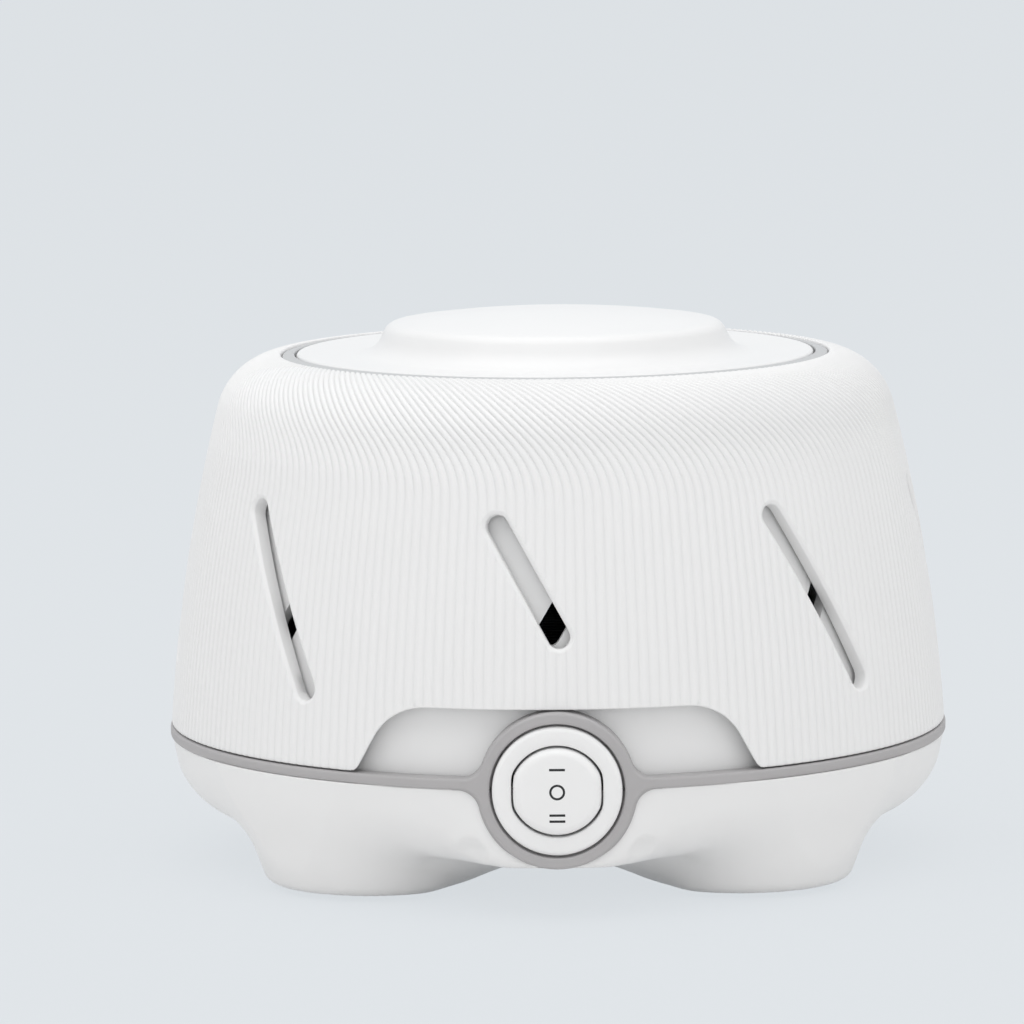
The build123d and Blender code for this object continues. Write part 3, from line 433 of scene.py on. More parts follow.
def collar_skin(way, inset=0.0):
    """Radius and height of the skin: way 0 to 1 is the long side arc, 1 to 2 the shoulder."""
    lean = math.radians(shoulder_lean)
    foot = np.array([collar_radius - inset, collar_foot])
    bend = np.array([shoulder[0] - inset * math.cos(lean), shoulder[1] - inset * math.sin(lean)])
    crown = np.array([opening_radius, opening_height - inset])
    start = (-math.sin(math.radians(foot_lean)), math.cos(math.radians(foot_lean)))
    side, bend_direction, side_length = arc(start, bend - foot, np.clip(way, 0, 1))
    top, _, top_length = arc(bend_direction, crown - bend, np.clip(way - 1, 0, 1))
    return foot + side + top, side_length, side_length + top_length


_, side_length, skin_length = collar_skin(np.zeros(1))


def way_at(length):
    """Way along the skin for a length measured up it from its foot."""
    over = (length - side_length) / (skin_length - side_length)
    return np.where(length < side_length, length / side_length, 1 + over)


def length_at(way):
    """Length up the skin from its foot, the inverse of way_at."""
    over = (way - 1) * (skin_length - side_length)
    return np.where(way < 1, way * side_length, side_length + over)


# Twist of the ribs: the lean rises smoothly along the skin, and the turn adds up its tangent.
twist_length = np.linspace(0, skin_length, 400)
rib_lean = np.radians(swirl_lean) * smooth_step(twist_length, swirl_start, swirl_full)
twist_rate = np.tan(rib_lean) / collar_skin(way_at(twist_length))[0][:, 0]
twist_steps = (twist_rate[1:] + twist_rate[:-1]) / 2 * np.diff(twist_length)
twist_turn = -np.concatenate([[0], np.cumsum(twist_steps)])


def outline_field(outline, x, z):
    """Signed distance from an open outline, negative on its right."""
    start, along = outline[:-1], np.diff(outline, axis=0)
    apart_x, apart_z = x[..., None] - start[:, 0], z[..., None] - start[:, 1]
    part = np.clip((apart_x * along[:, 0] + apart_z * along[:, 1]) / (along**2).sum(1), 0, 1)
    gap = np.hypot(apart_x - part * along[:, 0], apart_z - part * along[:, 1])
    nearest = gap.argmin(-1)[..., None]
    side = along[:, 0] * apart_z - along[:, 1] * apart_x
    side, gap = (np.take_along_axis(every, nearest, -1)[..., 0] for every in (side, gap))
    return np.sign(side) * gap


def slot_field(turn, radius, height):
    """Distance from the slots' outlines, each seen square on; the front slot is short."""
    from_slot = (np.degrees(turn) - slot_azimuth + slot_pitch / 2) % slot_pitch - slot_pitch / 2
    front = np.abs((np.degrees(turn) - slot_azimuth + 180) % 360 - 180) < slot_pitch / 2
    sideways = radius * np.sin(np.radians(from_slot))
    lean = math.tan(math.radians(slot_tilt))
    low = np.where(front, short_slot_bottom, slot_bottom)
    middle = (slot_top + slot_bottom) / 2
    # The nearest height on the slot's leaning centre line.
    nearest = (height - lean * (sideways - middle * lean)) / (1 + lean * lean)
    nearest = np.clip(nearest, low, slot_top)
    return np.hypot(sideways - (middle - nearest) * lean, height - nearest) - slot_half_width


def cut_fields(way, turn):
    """Distances from the slots and from the switch cut-out at places on the skin."""
    radius, height = np.moveaxis(collar_skin(way)[0], -1, 0)
    x, y = radius * np.sin(turn), -radius * np.cos(turn)
    cutout = np.full(way.shape, far_off)
    close = (y < 0) & (height < cutout_zone[1]) & (np.abs(x) < cutout_zone[0])
    cutout[close] = outline_field(cutout_outline, x[close], height[close])
    return slot_field(turn, radius, height), cutout


def slid(way, turn, contour, way_step, turn_step, held=None):
    """Way and turn of points that have slid down a contour's slope onto it, in three steps.

    A held row only slides sideways. Also gives how fast the contour rises per step.
    """
    nudge, rise = 1e-3, None
    for again in range(3):
        up = contour(way + nudge * way_step, turn) - contour(way - nudge * way_step, turn)
        across = contour(way, turn + nudge * turn_step) - contour(way, turn - nudge * turn_step)
        up, across = up / (2 * nudge), across / (2 * nudge)
        if held is not None:
            up[held] = 0
        if rise is None:
            rise = np.maximum(np.abs(up), np.abs(across))
        off = contour(way, turn) / np.maximum(up**2 + across**2, 1e-9)
        way, turn = way - off * up * way_step, turn - off * across * turn_step
    return way, turn, rise


def snapped(way, turn, contour):
    """Grid whose points next to a contour, under half a cell from it, have moved onto it."""
    longest_slide = 0.7
    way_step = np.gradient(way, axis=0)
    spacing = np.diff(turn, axis=1, append=turn[:, :1] + 2 * math.pi)
    turn_step = np.maximum(spacing, np.roll(spacing, 1, axis=1))
    # The rounded ends keep their rows.
    held = np.array([0, 1, 2, -3, -2, -1])
    new_way, new_turn, rise = slid(way, turn, contour, way_step, turn_step, held)
    chosen = np.abs(contour(way, turn)) < np.minimum(rise / 2, longest_slide)
    return np.where(chosen, new_way, way), np.where(chosen, new_turn, turn)


# Rows along the skin, by their length up it, stand closest where the slots are.
low_rows = np.arange(0.9, 12.2, 0.9)
slot_rows = np.arange(12.4, 47.2, 0.8)
top_rows = np.arange(48.2, skin_length - 0.9, 1.3)
ends = np.array([0, 0.1, collar_edge_round])
collar_rows = np.concatenate([ends, low_rows, slot_rows, top_rows, skin_length - ends[::-1]])
rib_places = (np.arange(rib_count)[:, None] + np.array(rib_columns)).ravel()
collar_columns = rib_places / rib_count * 2 * math.pi
twist = np.interp(collar_rows, twist_length, twist_turn)[:, None]
way = way_at(collar_rows)[:, None] + 0 * collar_columns
turn = collar_columns[None, :] + twist


def cut_gaps(way, turn):
    """Distances from where the skin ends: outside the slots' lips and the rounded cut-out."""
    slot_gap, cutout_gap = cut_fields(way, turn)
    return np.minimum(slot_gap - lip_width, cutout_gap - cutout_round)


way, turn = snapped(way, turn, cut_gaps)


def skin_drop(way, turn):
    """How far the surface lies under the plain skin: rib valleys and rounded ends.

    Across a rib the drop is a valley of (1 - 4 f (1 - f)) squared, f being the share of the
    rib. The valleys are deeper where the ribs swirl.
    """
    length = length_at(way)
    phase = ((turn - np.interp(length, twist_length, twist_turn)) * rib_count / (2 * math.pi)) % 1
    from_end = np.clip(np.minimum(length, skin_length - length), 0, collar_edge_round)
    under_end = np.sqrt(collar_edge_round**2 - (collar_edge_round - from_end) ** 2)
    swirl = smooth_step(length, swirl_start, swirl_full)
    rib_depth = rib_depths[0] + (rib_depths[1] - rib_depths[0]) * swirl
    return rib_depth * (1 - 4 * phase * (1 - phase)) ** 2 + (collar_edge_round - under_end)


def skin_points(way, turn, drop):
    """Points of the collar's skin, moved in by the drop along the skin's normal."""
    nudge = 1e-4
    along = collar_skin(way + nudge)[0] - collar_skin(way - nudge)[0]
    outward = np.stack([along[..., 1], -along[..., 0]], axis=-1)
    outward = outward / np.hypot(along[..., :1], along[..., 1:])
    radius, height = np.moveaxis(collar_skin(way)[0] - outward * drop[..., None], -1, 0)
    return np.stack([radius * np.sin(turn), -radius * np.cos(turn), height], axis=-1)


def inner_points(way, turn):
    """Points of the inner skin. Next to the cut-out they lie straight behind the outer ones."""
    outer = skin_points(way, turn, 0 * way)
    radius, height = np.moveaxis(collar_skin(way, collar_wall)[0], -1, 0)
    plain = np.stack([radius * np.sin(turn), -radius * np.cos(turn), height], axis=-1)
    behind = outer.copy()
    behind[..., 1] = -np.sqrt(np.maximum(radius**2 - outer[..., 0] ** 2, 1))
    near_cutout = 1 - smooth_step(cut_fields(way, turn)[1], *straight_reach)
    return plain + (behind - plain) * near_cutout[..., None]


slot_gap, cutout_gap = (field.ravel() for field in cut_fields(way, turn))
cut_gap = np.minimum(slot_gap - lip_width, cutout_gap - cutout_round)
cells = grid_faces(*way.shape, True)
# Cells past the edges of the cuts are left out, and so are slivers along them.
on_contour, sliver = 1e-3, 0.08
kept_corner = cut_gap[cells] > -on_contour
kept_cell = cut_gap[cells].mean(1) > -sliver
whole = cells[(kept_corner.sum(1) == 4) & kept_cell]
split_cells = kept_corner.sum(1) == 3
halves = cells[split_cells][kept_corner[split_cells]].reshape(-1, 3)

# Open edges of the skin, each with its face on its left.
around = [np.stack([group, np.roll(group, -1, axis=1)], axis=-1) for group in (whole, halves)]
edges = np.concatenate([pairs.reshape(-1, 2) for pairs in around])
skin_count = way.size
key = edges[:, 0] * skin_count + edges[:, 1]
edges = edges[~np.isin(key, edges[:, 1] * skin_count + edges[:, 0])]
way, turn = way.ravel(), turn.ravel()
points = [skin_points(way, turn, skin_drop(way, turn)), inner_points(way, turn)]
collar_faces = [whole, halves, whole[:, ::-1] + skin_count, halves[:, ::-1] + skin_count]
first_new = 2 * skin_count


def rim_quads(rows):
    """Quads between rows of open edges that lead down into a cut."""
    return [
        np.stack([near[:, 1], near[:, 0], far[:, 0], far[:, 1]], axis=-1)
        for near, far in zip(rows, rows[1:])
    ]


# Rows of points round off the edges of the cuts, between the skin and the wall of the cut.
# A row is a distance from the cut's outline and a drop under the skin. A slot's lip is a
# bevel, and the cut-out's edge a small quarter round.
lip_shares, lip_curve, lip_step = (0.8, 0.6, 0.4, 0.2, 0.08), 1.2, 0.1
lip_rows = [(share * lip_width, lip_depth * (1 - share) ** lip_curve) for share in lip_shares]
lip_rows.append((0, lip_depth + lip_step))
turn_shares = np.sin(np.radians([20, 45, 70, 90]))
round_rows = np.stack([1 - turn_shares, 1 - np.sqrt(1 - turn_shares**2)], axis=-1) * cutout_round
same_line = 0.02
on_slot = np.abs(slot_gap[edges] - lip_width).max(1) < same_line
on_cutout = np.abs(cutout_gap[edges] - cutout_round).max(1) < same_line
for which, chosen, rows in ((0, on_slot, lip_rows), (1, on_cutout, round_rows)):
    border = np.unique(edges[chosen])
    rank = np.searchsorted(border, edges[chosen])
    row_way, row_turn = way[border], turn[border]
    edge_rows = [edges[chosen]]
    for gap, drop in rows:
        step = np.ones(len(border))
        row_way, row_turn, _ = slid(
            row_way,
            row_turn,
            lambda way, turn: cut_fields(way, turn)[which] - gap,
            step / side_length,
            step / collar_radius,
        )
        row_drop = np.maximum(skin_drop(row_way, row_turn), drop)
        points.append(skin_points(row_way, row_turn, row_drop))
        edge_rows.append(first_new + rank)
        first_new += len(border)
    points[1][border] = inner_points(row_way, row_turn)
    edge_rows.append(edges[chosen] + skin_count)
    collar_faces += rim_quads(edge_rows)
plain_edges = edges[~(on_slot | on_cutout)]
collar_faces += rim_quads([plain_edges, plain_edges + skin_count])
white_collar = moulded("collar_plastic", (0.80,) * 3, 0.42)
collar_points = np.concatenate(points)
collar = new_piece(
    "ribbed_collar", collar_points, collar_faces, "collar", "collar", white_collar, ["collar"], 75
)

places = np.empty(len(collar.data.vertices) * 3, np.float32)
collar.data.vertices.foreach_get("co", places)
places = places.reshape(-1, 3) * 1000
radius, height = np.hypot(places[:, 0], places[:, 1]), places[:, 2]
skin_line = collar_skin(np.linspace(0, 2, 30))[0]
deep_share = 0.7
deep = outline_field(skin_line, radius, height) > collar_wall * deep_share

# The bevels meet the ribs in a crisp line.
from_slot = slot_field(np.arctan2(places[:, 0], -places[:, 1]), radius, height)
line_reach = 0.06
on_line = (np.abs(from_slot - lip_width) < line_reach) & ~deep
ends_of_edge = np.empty(len(collar.data.edges) * 2, np.int32)
collar.data.edges.foreach_get("vertices", ends_of_edge)
attributes = collar.data.attributes
sharp = attributes.get("sharp_edge") or attributes.new("sharp_edge", "BOOLEAN", "EDGE")
sharp_now = np.empty(len(collar.data.edges), bool)
sharp.data.foreach_get("value", sharp_now)
sharp.data.foreach_set("value", sharp_now | on_line[ends_of_edge].reshape(-1, 2).all(1))

# Only the plain inner skin is thinned out.
inner_group = collar.vertex_groups.new(name="inner_skin")
inner_group.add(np.flatnonzero(deep).tolist(), 1.0, "REPLACE")
thinning = collar.modifiers.new("thin_inner_skin", "DECIMATE")
thinning.ratio = 0.62
thinning.vertex_group = inner_group.name
thinning.vertex_group_factor = 1000

# ------------------------------------ trim
# Soft grey gasket clamped between base and housing: a band round the rim, drawn out into
# the flat loop round the switch.

trim_top = 25.0
trim_round, band_round = 0.35, 0.5
loop_outer, loop_inner = 13.85, 11.85
loop_lip, lip_top, lip_bottom = 0.42, 1.36, 1.7
loop_round, loop_bend = 0.5, 0.1
loop_ledge, ledge_step = 0.22, 0.01
loop_front, band_radius, band_inner = 71.8, 71.6, 68.2
loop_set_back, set_back_reach = 0.3, (14.5, 18.5)
loop_web = 4.0
loop_end, loop_sink = 19.0, 0.05
switch_seat = 66.8

soft_trim = moulded("trim_rubber", (0.410, 0.400, 0.404), 0.62, grain=700.0, depth=6e-6, shift=0.03)


def arc_points(centre, radius, start, end, steps):
    """Points of an arc about the centre, between two angles in degrees."""
    angle = np.radians(np.linspace(start, end, steps))
    return np.array(centre) + radius * np.stack([np.cos(angle), np.sin(angle)], axis=-1)


def web(level, above):
    """Centre of the fillet where the loop meets an edge of the band, and its bearing."""
    centre_z = level + loop_web if above else level - loop_web
    reach = loop_outer + loop_web
    centre_x = math.sqrt(reach**2 - (centre_z - switch_height) ** 2)
    return (centre_x, centre_z), math.degrees(math.atan2(centre_z - switch_height, centre_x))


# The loop's ends sink a little into the band.
upper_web, upper_bearing = web(trim_top - loop_sink, True)
lower_web, lower_bearing = web(rim_height + loop_sink, False)
end_heights = np.linspace(rim_height + loop_sink, trim_top - loop_sink, 6)
right_half = np.concatenate([
    arc_points((0, switch_height), loop_outer, -90, lower_bearing, 34)[:-1],
    arc_points(lower_web, loop_web, lower_bearing + 180, 90, 12),
    np.insert(end_heights[:, None], 0, loop_end, axis=1),
    arc_points(upper_web, loop_web, 270, upper_bearing + 180, 12)[:-1],
    arc_points((0, switch_height), loop_outer, upper_bearing, 90, 28),
])
loop_outline = np.concatenate([right_half, right_half[-2:0:-1] * (-1, 1)])
loop_middle = np.array([0, switch_height])


def bearings(outline):
    """Unit directions from the switch's middle to the points of a front-view outline."""
    reach = outline - loop_middle
    return reach / np.linalg.norm(reach, axis=1, keepdims=True)


def moved_in(outline, distance):
    """Closed outline, counter-clockwise, with its points moved in along their normals."""
    along = np.roll(outline, -1, axis=0) - np.roll(outline, 1, axis=0)
    inward = np.stack([-along[:, 1], along[:, 0]], axis=-1)
    return outline + inward / np.linalg.norm(along, axis=1, keepdims=True) * distance


def loop_row(place, drop):
    """Points on the loop's curved front at a front-view place, the drop behind it."""
    x, z = place[:, 0], place[:, 1]
    front = loop_front - loop_set_back * smooth_step(np.abs(x), *set_back_reach)
    return np.stack([x, drop - np.sqrt(front**2 - x**2), z], axis=-1)


def loop_back(place):
    """Points of the loop's back, on the seat of the switch."""
    return np.insert(place, 1, -switch_seat, axis=1)


bearing = bearings(loop_outline)
inner_insets = (0, loop_bend, trim_round)
inner_edge = [loop_middle + bearing * (loop_inner + inset) for inset in inner_insets]
outer_edge = [
    (moved_in(loop_outline, loop_round * (1 - math.cos(t))), loop_round * (1 - math.sin(t)))
    for t in np.radians([0, 22.5, 45, 67.5, 90])
]
# A narrow ledge under the loop's lower sides keeps a dark line between it and the base.
# It starts level with the switch's middle and ends before the loop's bottom, in radians.
ledge_start, ledge_end = (-0.12, 0.0), (0.7, 1.1)
below = math.pi / 2 - np.arctan2(np.abs(loop_outline[:, 0]), switch_height - loop_outline[:, 1])
low_side = smooth_step(below, *ledge_start) * (1 - smooth_step(below, *ledge_end))
ledge = moved_in(loop_outline, -loop_ledge * low_side[:, None])
face_parts = np.linspace(0, 1, 7)[1:-1]
lip_edge = loop_middle + bearing * (loop_inner - loop_lip)
loop_rows = [
    loop_back(lip_edge),
    loop_row(lip_edge, lip_bottom),
    loop_row(inner_edge[0], lip_top),
    loop_row(inner_edge[0], trim_round),
    loop_row(inner_edge[1], loop_bend),
    loop_row(inner_edge[2], 0),
    *(loop_row(inner_edge[2] * (1 - part) + outer_edge[-1][0] * part, 0) for part in face_parts),
    *(loop_row(place, drop) for place, drop in outer_edge[::-1]),
    loop_row(ledge, loop_round + ledge_step),
    loop_back(ledge),
]
loop_rows.append(loop_rows[0])
loop_points = np.concatenate(loop_rows)
band_corners = [(radius, rim_height) for radius in (band_inner, band_radius)]
band_corners += [(radius, trim_top) for radius in (band_radius, band_inner)]
band_outline = rounded(band_corners, [0, trim_round, band_round, 0])
# The band stops inside the loop, 10 degrees to each side of the switch, and is closed there.
band_columns, gap_start, gap_end = 360, 260, 280
band_points = turned(np.concatenate([band_outline, band_outline[:1]]), band_columns)
band_quads = grid_faces(len(band_outline) + 1, band_columns, True).reshape(-1, band_columns, 4)
band_faces = np.delete(band_quads, np.arange(gap_start, gap_end), axis=1).reshape(-1, 4)
band_end = np.arange(len(band_outline))[None, :] * band_columns
loop_faces = grid_faces(len(loop_rows), len(loop_outline), True)[:, ::-1]
band_ends = [band_end[:, ::-1] + gap_start, band_end + gap_end]
trim_points = np.concatenate([band_points, loop_points])
trim_faces = [band_faces, *band_ends, loop_faces + len(band_points)]
new_piece(
    "trim_gasket_dressed", trim_points, trim_faces, "base", "trim", soft_trim, ["trim_gasket"], 60
)

# ------------------------------------ switch
# Round rocker switch, moulded in white ABS: a ring with a raised flat face, and a
# three-position rocker with black I, O and II marks printed on it.

bezel_radius, bezel_front, bezel_round = 11.4, 72.0, 1.0
window_radius, window_shift, window_half_width = 8.7, 0.61, 8.03
window_corner, window_corner_cut = 0.5, 0.12
window_round, window_bend = 0.35, 0.1
rocker_gap, rocker_side_gap = 0.42, 0.3
rocker_front, rocker_round = 72.985, 1.5
rocker_depth = 65.0


def window_points(shrink, side_shrink, steps=40):
    """Two arcs of one radius, shifted apart, cut by upright sides, as an even closed outline.

    At each bearing the outline is the nearest of the two arcs and the two sides, cut a
    little nearer where they cross.
    """
    angle = np.linspace(-math.pi, math.pi, 4 * steps, endpoint=False)
    radius = window_radius - shrink
    lift = window_shift * np.abs(np.sin(angle))
    arc_reach = -lift + np.sqrt(radius**2 - window_shift**2 + lift**2)
    side_reach = (window_half_width - side_shrink) / np.maximum(np.abs(np.cos(angle)), 1e-6)
    blend = np.maximum(window_corner - np.abs(arc_reach - side_reach), 0) / window_corner
    reach = np.minimum(arc_reach, side_reach) - blend**2 * window_corner_cut
    return np.stack([reach * np.cos(angle), switch_height + reach * np.sin(angle)], axis=-1)


def front_rows(rows):
    """Rings of points from pairs of a front-view outline and its distance in front."""
    return np.concatenate([np.insert(place, 1, -front, axis=1) for place, front in rows])


white_switch = moulded("switch_plastic", (0.82,) * 3, 0.3, grain=1400.0, depth=2e-6)
window = window_points(0, 0)
bearing = bearings(window)
bezel_rows = [
    (window, switch_seat),
    (window, bezel_front - window_round),
    (window + bearing * window_bend, bezel_front - window_bend),
    (window + bearing * window_round, bezel_front),
]
for angle in np.radians(np.linspace(90, 0, 7)):
    ring = bezel_radius - bezel_round + bezel_round * math.cos(angle)
    front = bezel_front - bezel_round + bezel_round * math.sin(angle)
    bezel_rows.append((loop_middle + bearing * ring, front))
bezel_rows.append((loop_middle + bearing * bezel_radius, switch_seat))
bezel_rows.append(bezel_rows[0])
bezel_points = front_rows(bezel_rows)
bezel_faces = grid_faces(len(bezel_rows), len(window), True)[:, ::-1]
new_piece(
    "switch_ring", bezel_points, bezel_faces, "base", "bezel", white_switch, ["switch_bezel"], 55
)

button = window_points(rocker_gap, rocker_side_gap)
centre_gap = np.linalg.norm(button - loop_middle, axis=1, keepdims=True)
bearing = bearings(button)
pole = 1e-4
button_rows = [(loop_middle + bearing * pole, rocker_depth), (button, rocker_depth)]
for angle in np.radians(np.linspace(0, 90, 9)):
    inset = rocker_round * (1 - math.cos(angle))
    front = rocker_front - rocker_round + rocker_round * math.sin(angle)
    button_rows.append((button - bearing * inset, front))
for share in (0.75, 0.5, 0.25, 0.0):
    button_rows.append((loop_middle + bearing * (centre_gap - rocker_round) * share, rocker_front))
button_points = front_rows(button_rows)
button_faces = grid_faces(len(button_rows), len(button), True)
button_shown = (white_switch, ["rocker_button"], 55)
new_piece("rocker_dressed", button_points, button_faces, "rocker", "rocker", *button_shown)

# The marks are thin films of ink on the rocker.
ink = Finish("mark_ink", Roughness=0.5)
ink.colour(ink.noise(500.0), (0.012, 0.012, 0.013), (0.02, 0.02, 0.021))
ink_height, ink_sink = 0.012, 0.05
mark_face, mark_foot = rocker_front + ink_height, rocker_front - ink_sink
bar_half, bar_thick = 1.38, 0.21
bar_corners = np.array([(-1, -1), (1, -1), (1, 1), (-1, 1)]) * (bar_half, bar_thick)
bar_heights = {"mark_one": [27.06], "mark_two": [19.03, 17.96]}
around = np.arange(4)
after = (around + 1) % 4
for name, heights in bar_heights.items():
    bars = np.concatenate([bar_corners + (0, height) for height in heights])
    faces = []
    for far in range(0, len(bars), 4):
        near = far + len(bars)
        sides = [far + around, far + after, near + after, near + around]
        faces += [np.stack(sides, axis=-1), near + around[None, :], far + around[None, ::-1]]
    mark_points = front_rows([(bars, mark_foot), (bars, mark_face)])
    new_piece(name, mark_points, faces, "rocker", "lead_black", ink.material)
o_radius, o_stroke, o_height, o_columns = 1.19, 0.2, 23.1, 48
o_inner, o_outer = (
    arc_points((0, o_height), reach, 0, 360, o_columns + 1)[:-1]
    for reach in (o_radius - o_stroke, o_radius + o_stroke)
)
o_rows = [(o_inner, mark_foot), (o_inner, mark_face), (o_outer, mark_face), (o_outer, mark_foot)]
o_rows.append(o_rows[0])
o_faces = grid_faces(len(o_rows), o_columns, True)[:, ::-1]
new_piece("mark_zero", front_rows(o_rows), o_faces, "rocker", "lead_black", ink.material)

# ------------------------------------ cap
# Domed ABS cap that turns by hand, inside a narrow grey ring. The ring is a separate
# moulding pressed into the top of the housing, and is kept from the solids.

cap_radius, cap_rim_height, cap_rim_round = 47.5, 93.3, 0.6
cap_neck, cap_neck_round = (33.5, 92.7), 5.5
dome_edge, dome_edge_round = (30.7, 98.5), 2.8
overall_height = 100.8
cap_foot = 90.02
cap_columns = 256

dome_reach = np.array(dome_edge) - (0, overall_height)
dome_radius = (dome_reach @ dome_reach) / (2 * -dome_reach[1])
dome_slope = math.asin(dome_edge[0] / dome_radius)
# The dome's last stretch is straight enough for its rounded edge to be worked out on it.
straight_run = 6
before_edge = (
    dome_edge[0] - straight_run * math.cos(dome_slope),
    dome_edge[1] + straight_run * math.sin(dome_slope),
)
cap_rim = [(cap_radius, cap_foot), (cap_radius, cap_rim_height)]
cap_corners = [(0, cap_foot), *cap_rim, cap_neck, dome_edge, before_edge]
cap_rounds = [0, cap_rim_round, cap_rim_round, cap_neck_round, dome_edge_round, 0]
cap_side = rounded(cap_corners, cap_rounds, steps=12)
dome_radii = np.linspace(before_edge[0], 0, 26)
dome_heights = overall_height - dome_radius + np.sqrt(dome_radius**2 - dome_radii**2)
cap_outline = np.concatenate([cap_side[:-1], np.stack([dome_radii, dome_heights], axis=-1)])
white_cap = moulded("cap_plastic", (0.80,) * 3, 0.36, grain=1100.0, depth=3e-6)
cap_points = turned(cap_outline, cap_columns)
cap_faces = grid_faces(len(cap_outline), cap_columns, True)
new_piece("domed_cap", cap_points, cap_faces, "cap", "cap", white_cap, ["cap"], 50)

# ------------------------------------ parts kept from the solids
# The housing, the grey ring, the shutter, the motor and its plate, the fan, the leads, the
# screws and the pads are shown as they are: shaded smooth between their edges, each
# material slot with its own finish.


def worked_metal(name, colour, roughness, stretch=(1.0, 1.0, 0.05)):
    """Drawn, turned or ground metal: fine lines along an axis, with uneven gloss."""
    made = Finish(name, Metallic=1.0)
    lines = made.noise(1500.0, 3.0, stretch)
    made.colour(lines, *([min(1.0, c * shade) for c in colour] for shade in (0.9, 1.08)))
    made.gloss(lines, roughness, 0.16)
    made.bump(lines, 4e-6)
    return made.material


def banded(name, dark, light, axis, pitch, metallic, roughness, depth):
    """Layers or turns of wire: a wave along an axis, one band per pitch in metres."""
    made = Finish(name, Metallic=metallic)
    wave = made.node(
        "ShaderNodeTexWave",
        {"wave_type": "BANDS", "bands_direction": axis, "wave_profile": "SIN"},
        Vector=made.place,
        Scale=math.pi / (10 * pitch),
        Distortion=0.0,
    )
    cloud = made.noise(220.0)
    made.colour(wave * 0.8 + cloud * 0.2, dark, light)
    made.gloss(cloud, roughness, 0.14)
    made.bump(wave, depth)
    return made.material


slot_finishes = {
    "housing": moulded("housing_plastic", (0.78,) * 3, 0.45),
    "ring": moulded("ring_plastic", (0.50, 0.505, 0.51), 0.4),
    "shutter": moulded("shutter_plastic", (0.60, 0.605, 0.61), 0.45),
    "gland": moulded("gland_rubber", (0.62, 0.622, 0.625), 0.55),
    "pad": moulded("pad_rubber", (0.30, 0.30, 0.305), 0.75, grain=500.0, depth=1.5e-5, shift=0.05),
    "switch_black": moulded("switch_housing_nylon", (0.02, 0.02, 0.021), 0.45, shift=0.1),
    "bobbin": moulded("bobbin_nylon", (0.62, 0.58, 0.47), 0.42),
    "fuse": moulded("fuse_sleeve", (0.52, 0.44, 0.25), 0.5),
    "fan": moulded("fan_plastic", (0.022, 0.022, 0.024), 0.4, shift=0.1),
    "grommet": moulded("grommet_rubber", (0.018,) * 3, 0.7, grain=500.0, depth=1e-5, shift=0.1),
    "thrust": moulded("thrust_phenolic", (0.03, 0.028, 0.026), 0.5, shift=0.1),
    "lead_black": moulded("lead_black_pvc", (0.016,) * 3, 0.5, shift=0.1),
    "lead_white": moulded("lead_white_pvc", (0.70, 0.70, 0.68), 0.5),
    "lead_red": moulded("lead_red_pvc", (0.45, 0.03, 0.025), 0.5, shift=0.05),
    "lead_blue": moulded("lead_blue_pvc", (0.03, 0.08, 0.38), 0.5, shift=0.05),
    "plate": worked_metal("plate_zinc", (0.52, 0.53, 0.54), 0.4, (1.0, 0.05, 1.0)),
    "shaft": worked_metal("shaft_ground_steel", (0.66, 0.66, 0.67), 0.18),
    "clip": worked_metal("clip_spring_steel", (0.42, 0.42, 0.44), 0.35),
    "washer_steel": worked_metal("washer_zinc", (0.55, 0.55, 0.57), 0.35, (0.05, 1.0, 1.0)),
    "screw_steel": worked_metal("screw_zinc", (0.52, 0.52, 0.54), 0.32),
    "nut_steel": worked_metal("nut_zinc", (0.54, 0.54, 0.56), 0.34),
    "sleeve": worked_metal("sleeve_aluminium", (0.66, 0.66, 0.68), 0.35),
    "terminal": worked_metal("terminal_brass", (0.60, 0.42, 0.18), 0.35, (1.0, 0.05, 1.0)),
    "bracket": worked_metal("bracket_zinc", (0.55, 0.56, 0.57), 0.38, (0.05, 1.0, 1.0)),
    "bearing": worked_metal("bearing_bronze", (0.50, 0.33, 0.15), 0.45, (1.0, 1.0, 1.0)),
    "rotor": banded(
        "rotor_laminations", (0.24, 0.24, 0.25), (0.44, 0.44, 0.46), "Z", 0.0005, 1.0, 0.42, 3e-5
    ),
    "lamination": banded(
        "stack_laminations", (0.07, 0.075, 0.085), (0.17, 0.18, 0.20), "Z", 0.0005, 0.8, 0.45, 4e-5
    ),
    "winding": banded(
        "winding_copper", (0.20, 0.065, 0.022), (0.55, 0.22, 0.08), "X", 0.00025, 0.9, 0.3, 6e-5
    ),
}
dressed = {"base_shell", "collar", "trim_gasket", "switch_bezel", "rocker_button", "cap"}
for subpart in frame["record"]["subparts"]:
    if subpart["node"] in dressed:
        continue
    node = nodes[subpart["node"]]
    node.data.shade_smooth()
    for slot in node.material_slots:
        slot.material = slot_finishes[subpart["material_slot"]]
    node.modifiers.new("weld", "WELD").merge_threshold = 1e-6
    edges = node.modifiers.new("edges", "EDGE_SPLIT")
    edges.split_angle = math.radians(32)
    edges.use_edge_sharp = False

# ------------------------------------ floor and light
# A pale studio table in even room light, with a soft lamp above and two weak ones in front.
# The camera and the reflections see the plain backdrop colour; the table keeps the shadow.

backdrop, glow_strength = (0.738, 0.775, 0.807), 0.985
table_half, table_shades = 8, (0.8358, 0.8442)
shadow_share = 0.09
room_strength = 0.80


def seen_ray(tree):
    """1 for the rays of the camera and of reflections, 0 for the light that falls on things."""
    light_path = tree.nodes.new("ShaderNodeLightPath")
    kinds = ("Is Camera Ray", "Is Glossy Ray", "Is Transmission Ray")
    rays = [Value(tree, light_path.outputs[kind]) for kind in kinds]
    seen = rays[0] + rays[1] + rays[2]
    return seen.maths("MINIMUM", seen, 1.0)


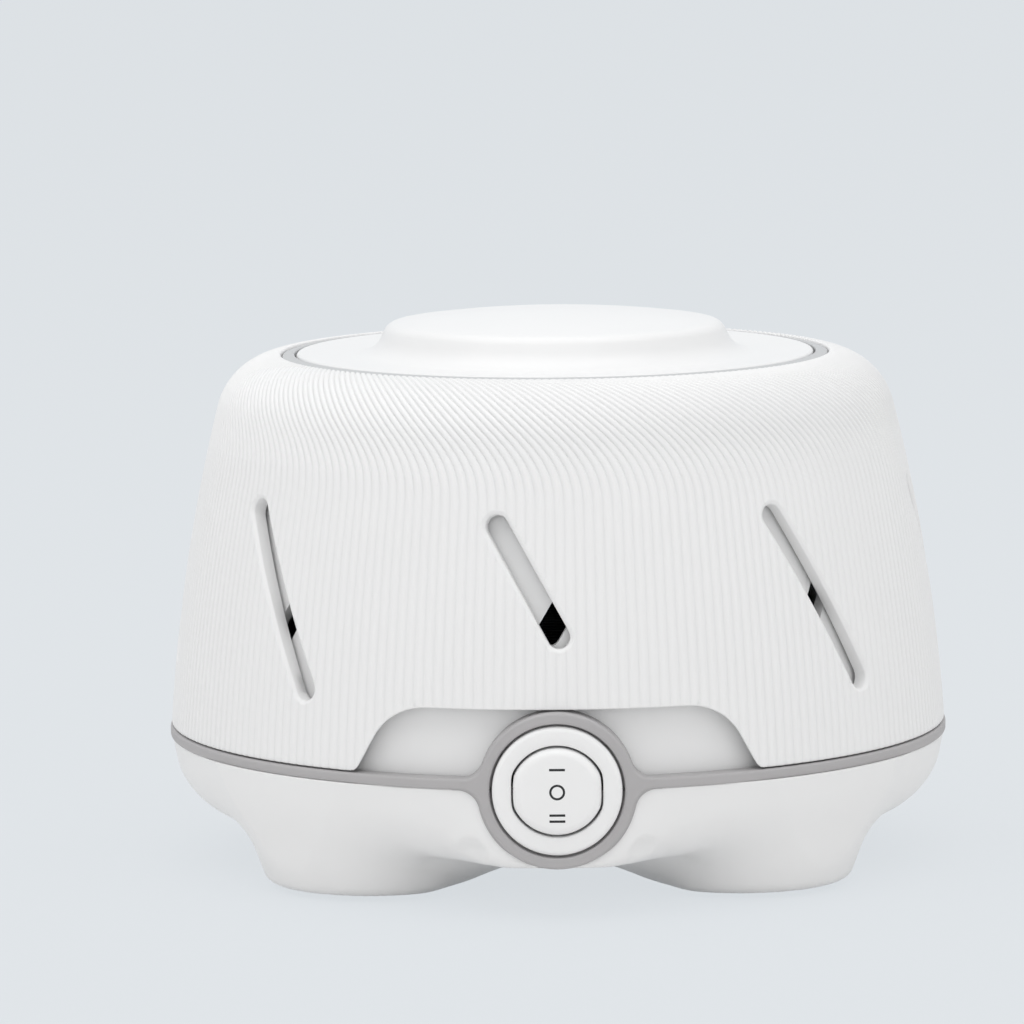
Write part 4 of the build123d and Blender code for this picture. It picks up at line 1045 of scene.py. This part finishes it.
paint = Finish("table_paint", Roughness=0.9)
paint.colour(paint.noise(3.0), *([shade] * 3 for shade in table_shades))
glow = paint.node("ShaderNodeEmission", Color=(*backdrop, 1.0), Strength=glow_strength)
blend = paint.tree.nodes.new("ShaderNodeMixShader")
paint.plug(blend.inputs["Fac"], seen_ray(paint.tree) * (1 - shadow_share))
paint.plug(blend.inputs[1], Value(paint.tree, paint.shader.outputs["BSDF"]))
paint.plug(blend.inputs[2], glow)
table_output = paint.tree.nodes["Material Output"]
paint.plug(table_output.inputs["Surface"], Value(paint.tree, blend.outputs["Shader"]))

table_mesh = bpy.data.meshes.new("table")
table_corners = [(-1, -1), (1, -1), (1, 1), (-1, 1)]
table_places = [(x * table_half, y * table_half, 0) for x, y in table_corners]
table_mesh.from_pydata(table_places, [], [(0, 1, 2, 3)])
table_mesh.materials.append(paint.material)
table = bpy.data.objects.new("table", table_mesh)
scene.collection.objects.link(table)

world = bpy.data.worlds.new("room")
scene.world = world
world.use_nodes = True
room_tree = world.node_tree
room = room_tree.nodes["Background"]
room.inputs["Color"].default_value = (1.0, 1.0, 1.0, 1.0)
room.inputs["Strength"].default_value = room_strength
wall = room_tree.nodes.new("ShaderNodeBackground")
wall.inputs["Color"].default_value = (*backdrop, 1.0)
room_mix = room_tree.nodes.new("ShaderNodeMixShader")
room_tree.links.new(seen_ray(room_tree).socket, room_mix.inputs["Fac"])
room_tree.links.new(room.outputs["Background"], room_mix.inputs[1])
room_tree.links.new(wall.outputs["Background"], room_mix.inputs[2])
room_tree.links.new(room_mix.outputs["Shader"], room_tree.nodes["World Output"].inputs["Surface"])

# Place, target, width in metres and power in watts of each lamp.
lamps = {
    "overhead": ((-0.1, -0.25, 1.3), (0.0, 0.0, 0.06), 1.6, 9.6),
    "front_left": ((-1.0, -1.0, 0.8), (0.0, 0.0, 0.05), 0.9, 0.3),
    "front_right": ((1.1, -0.9, 0.6), (0.0, 0.0, 0.05), 0.9, 0.5),
}
for name, (place, target, size, power) in lamps.items():
    lamp_data = bpy.data.lights.new(name, "AREA")
    lamp_data.size = size
    lamp_data.energy = power
    away = np.array(place) - target
    away /= np.linalg.norm(away)
    side = np.cross((0.0, 0.0, 1.0), away)
    side /= np.linalg.norm(side)
    stood(name, lamp_data, place, side, np.cross(away, side), away)

scene.view_settings.view_transform = "Standard"
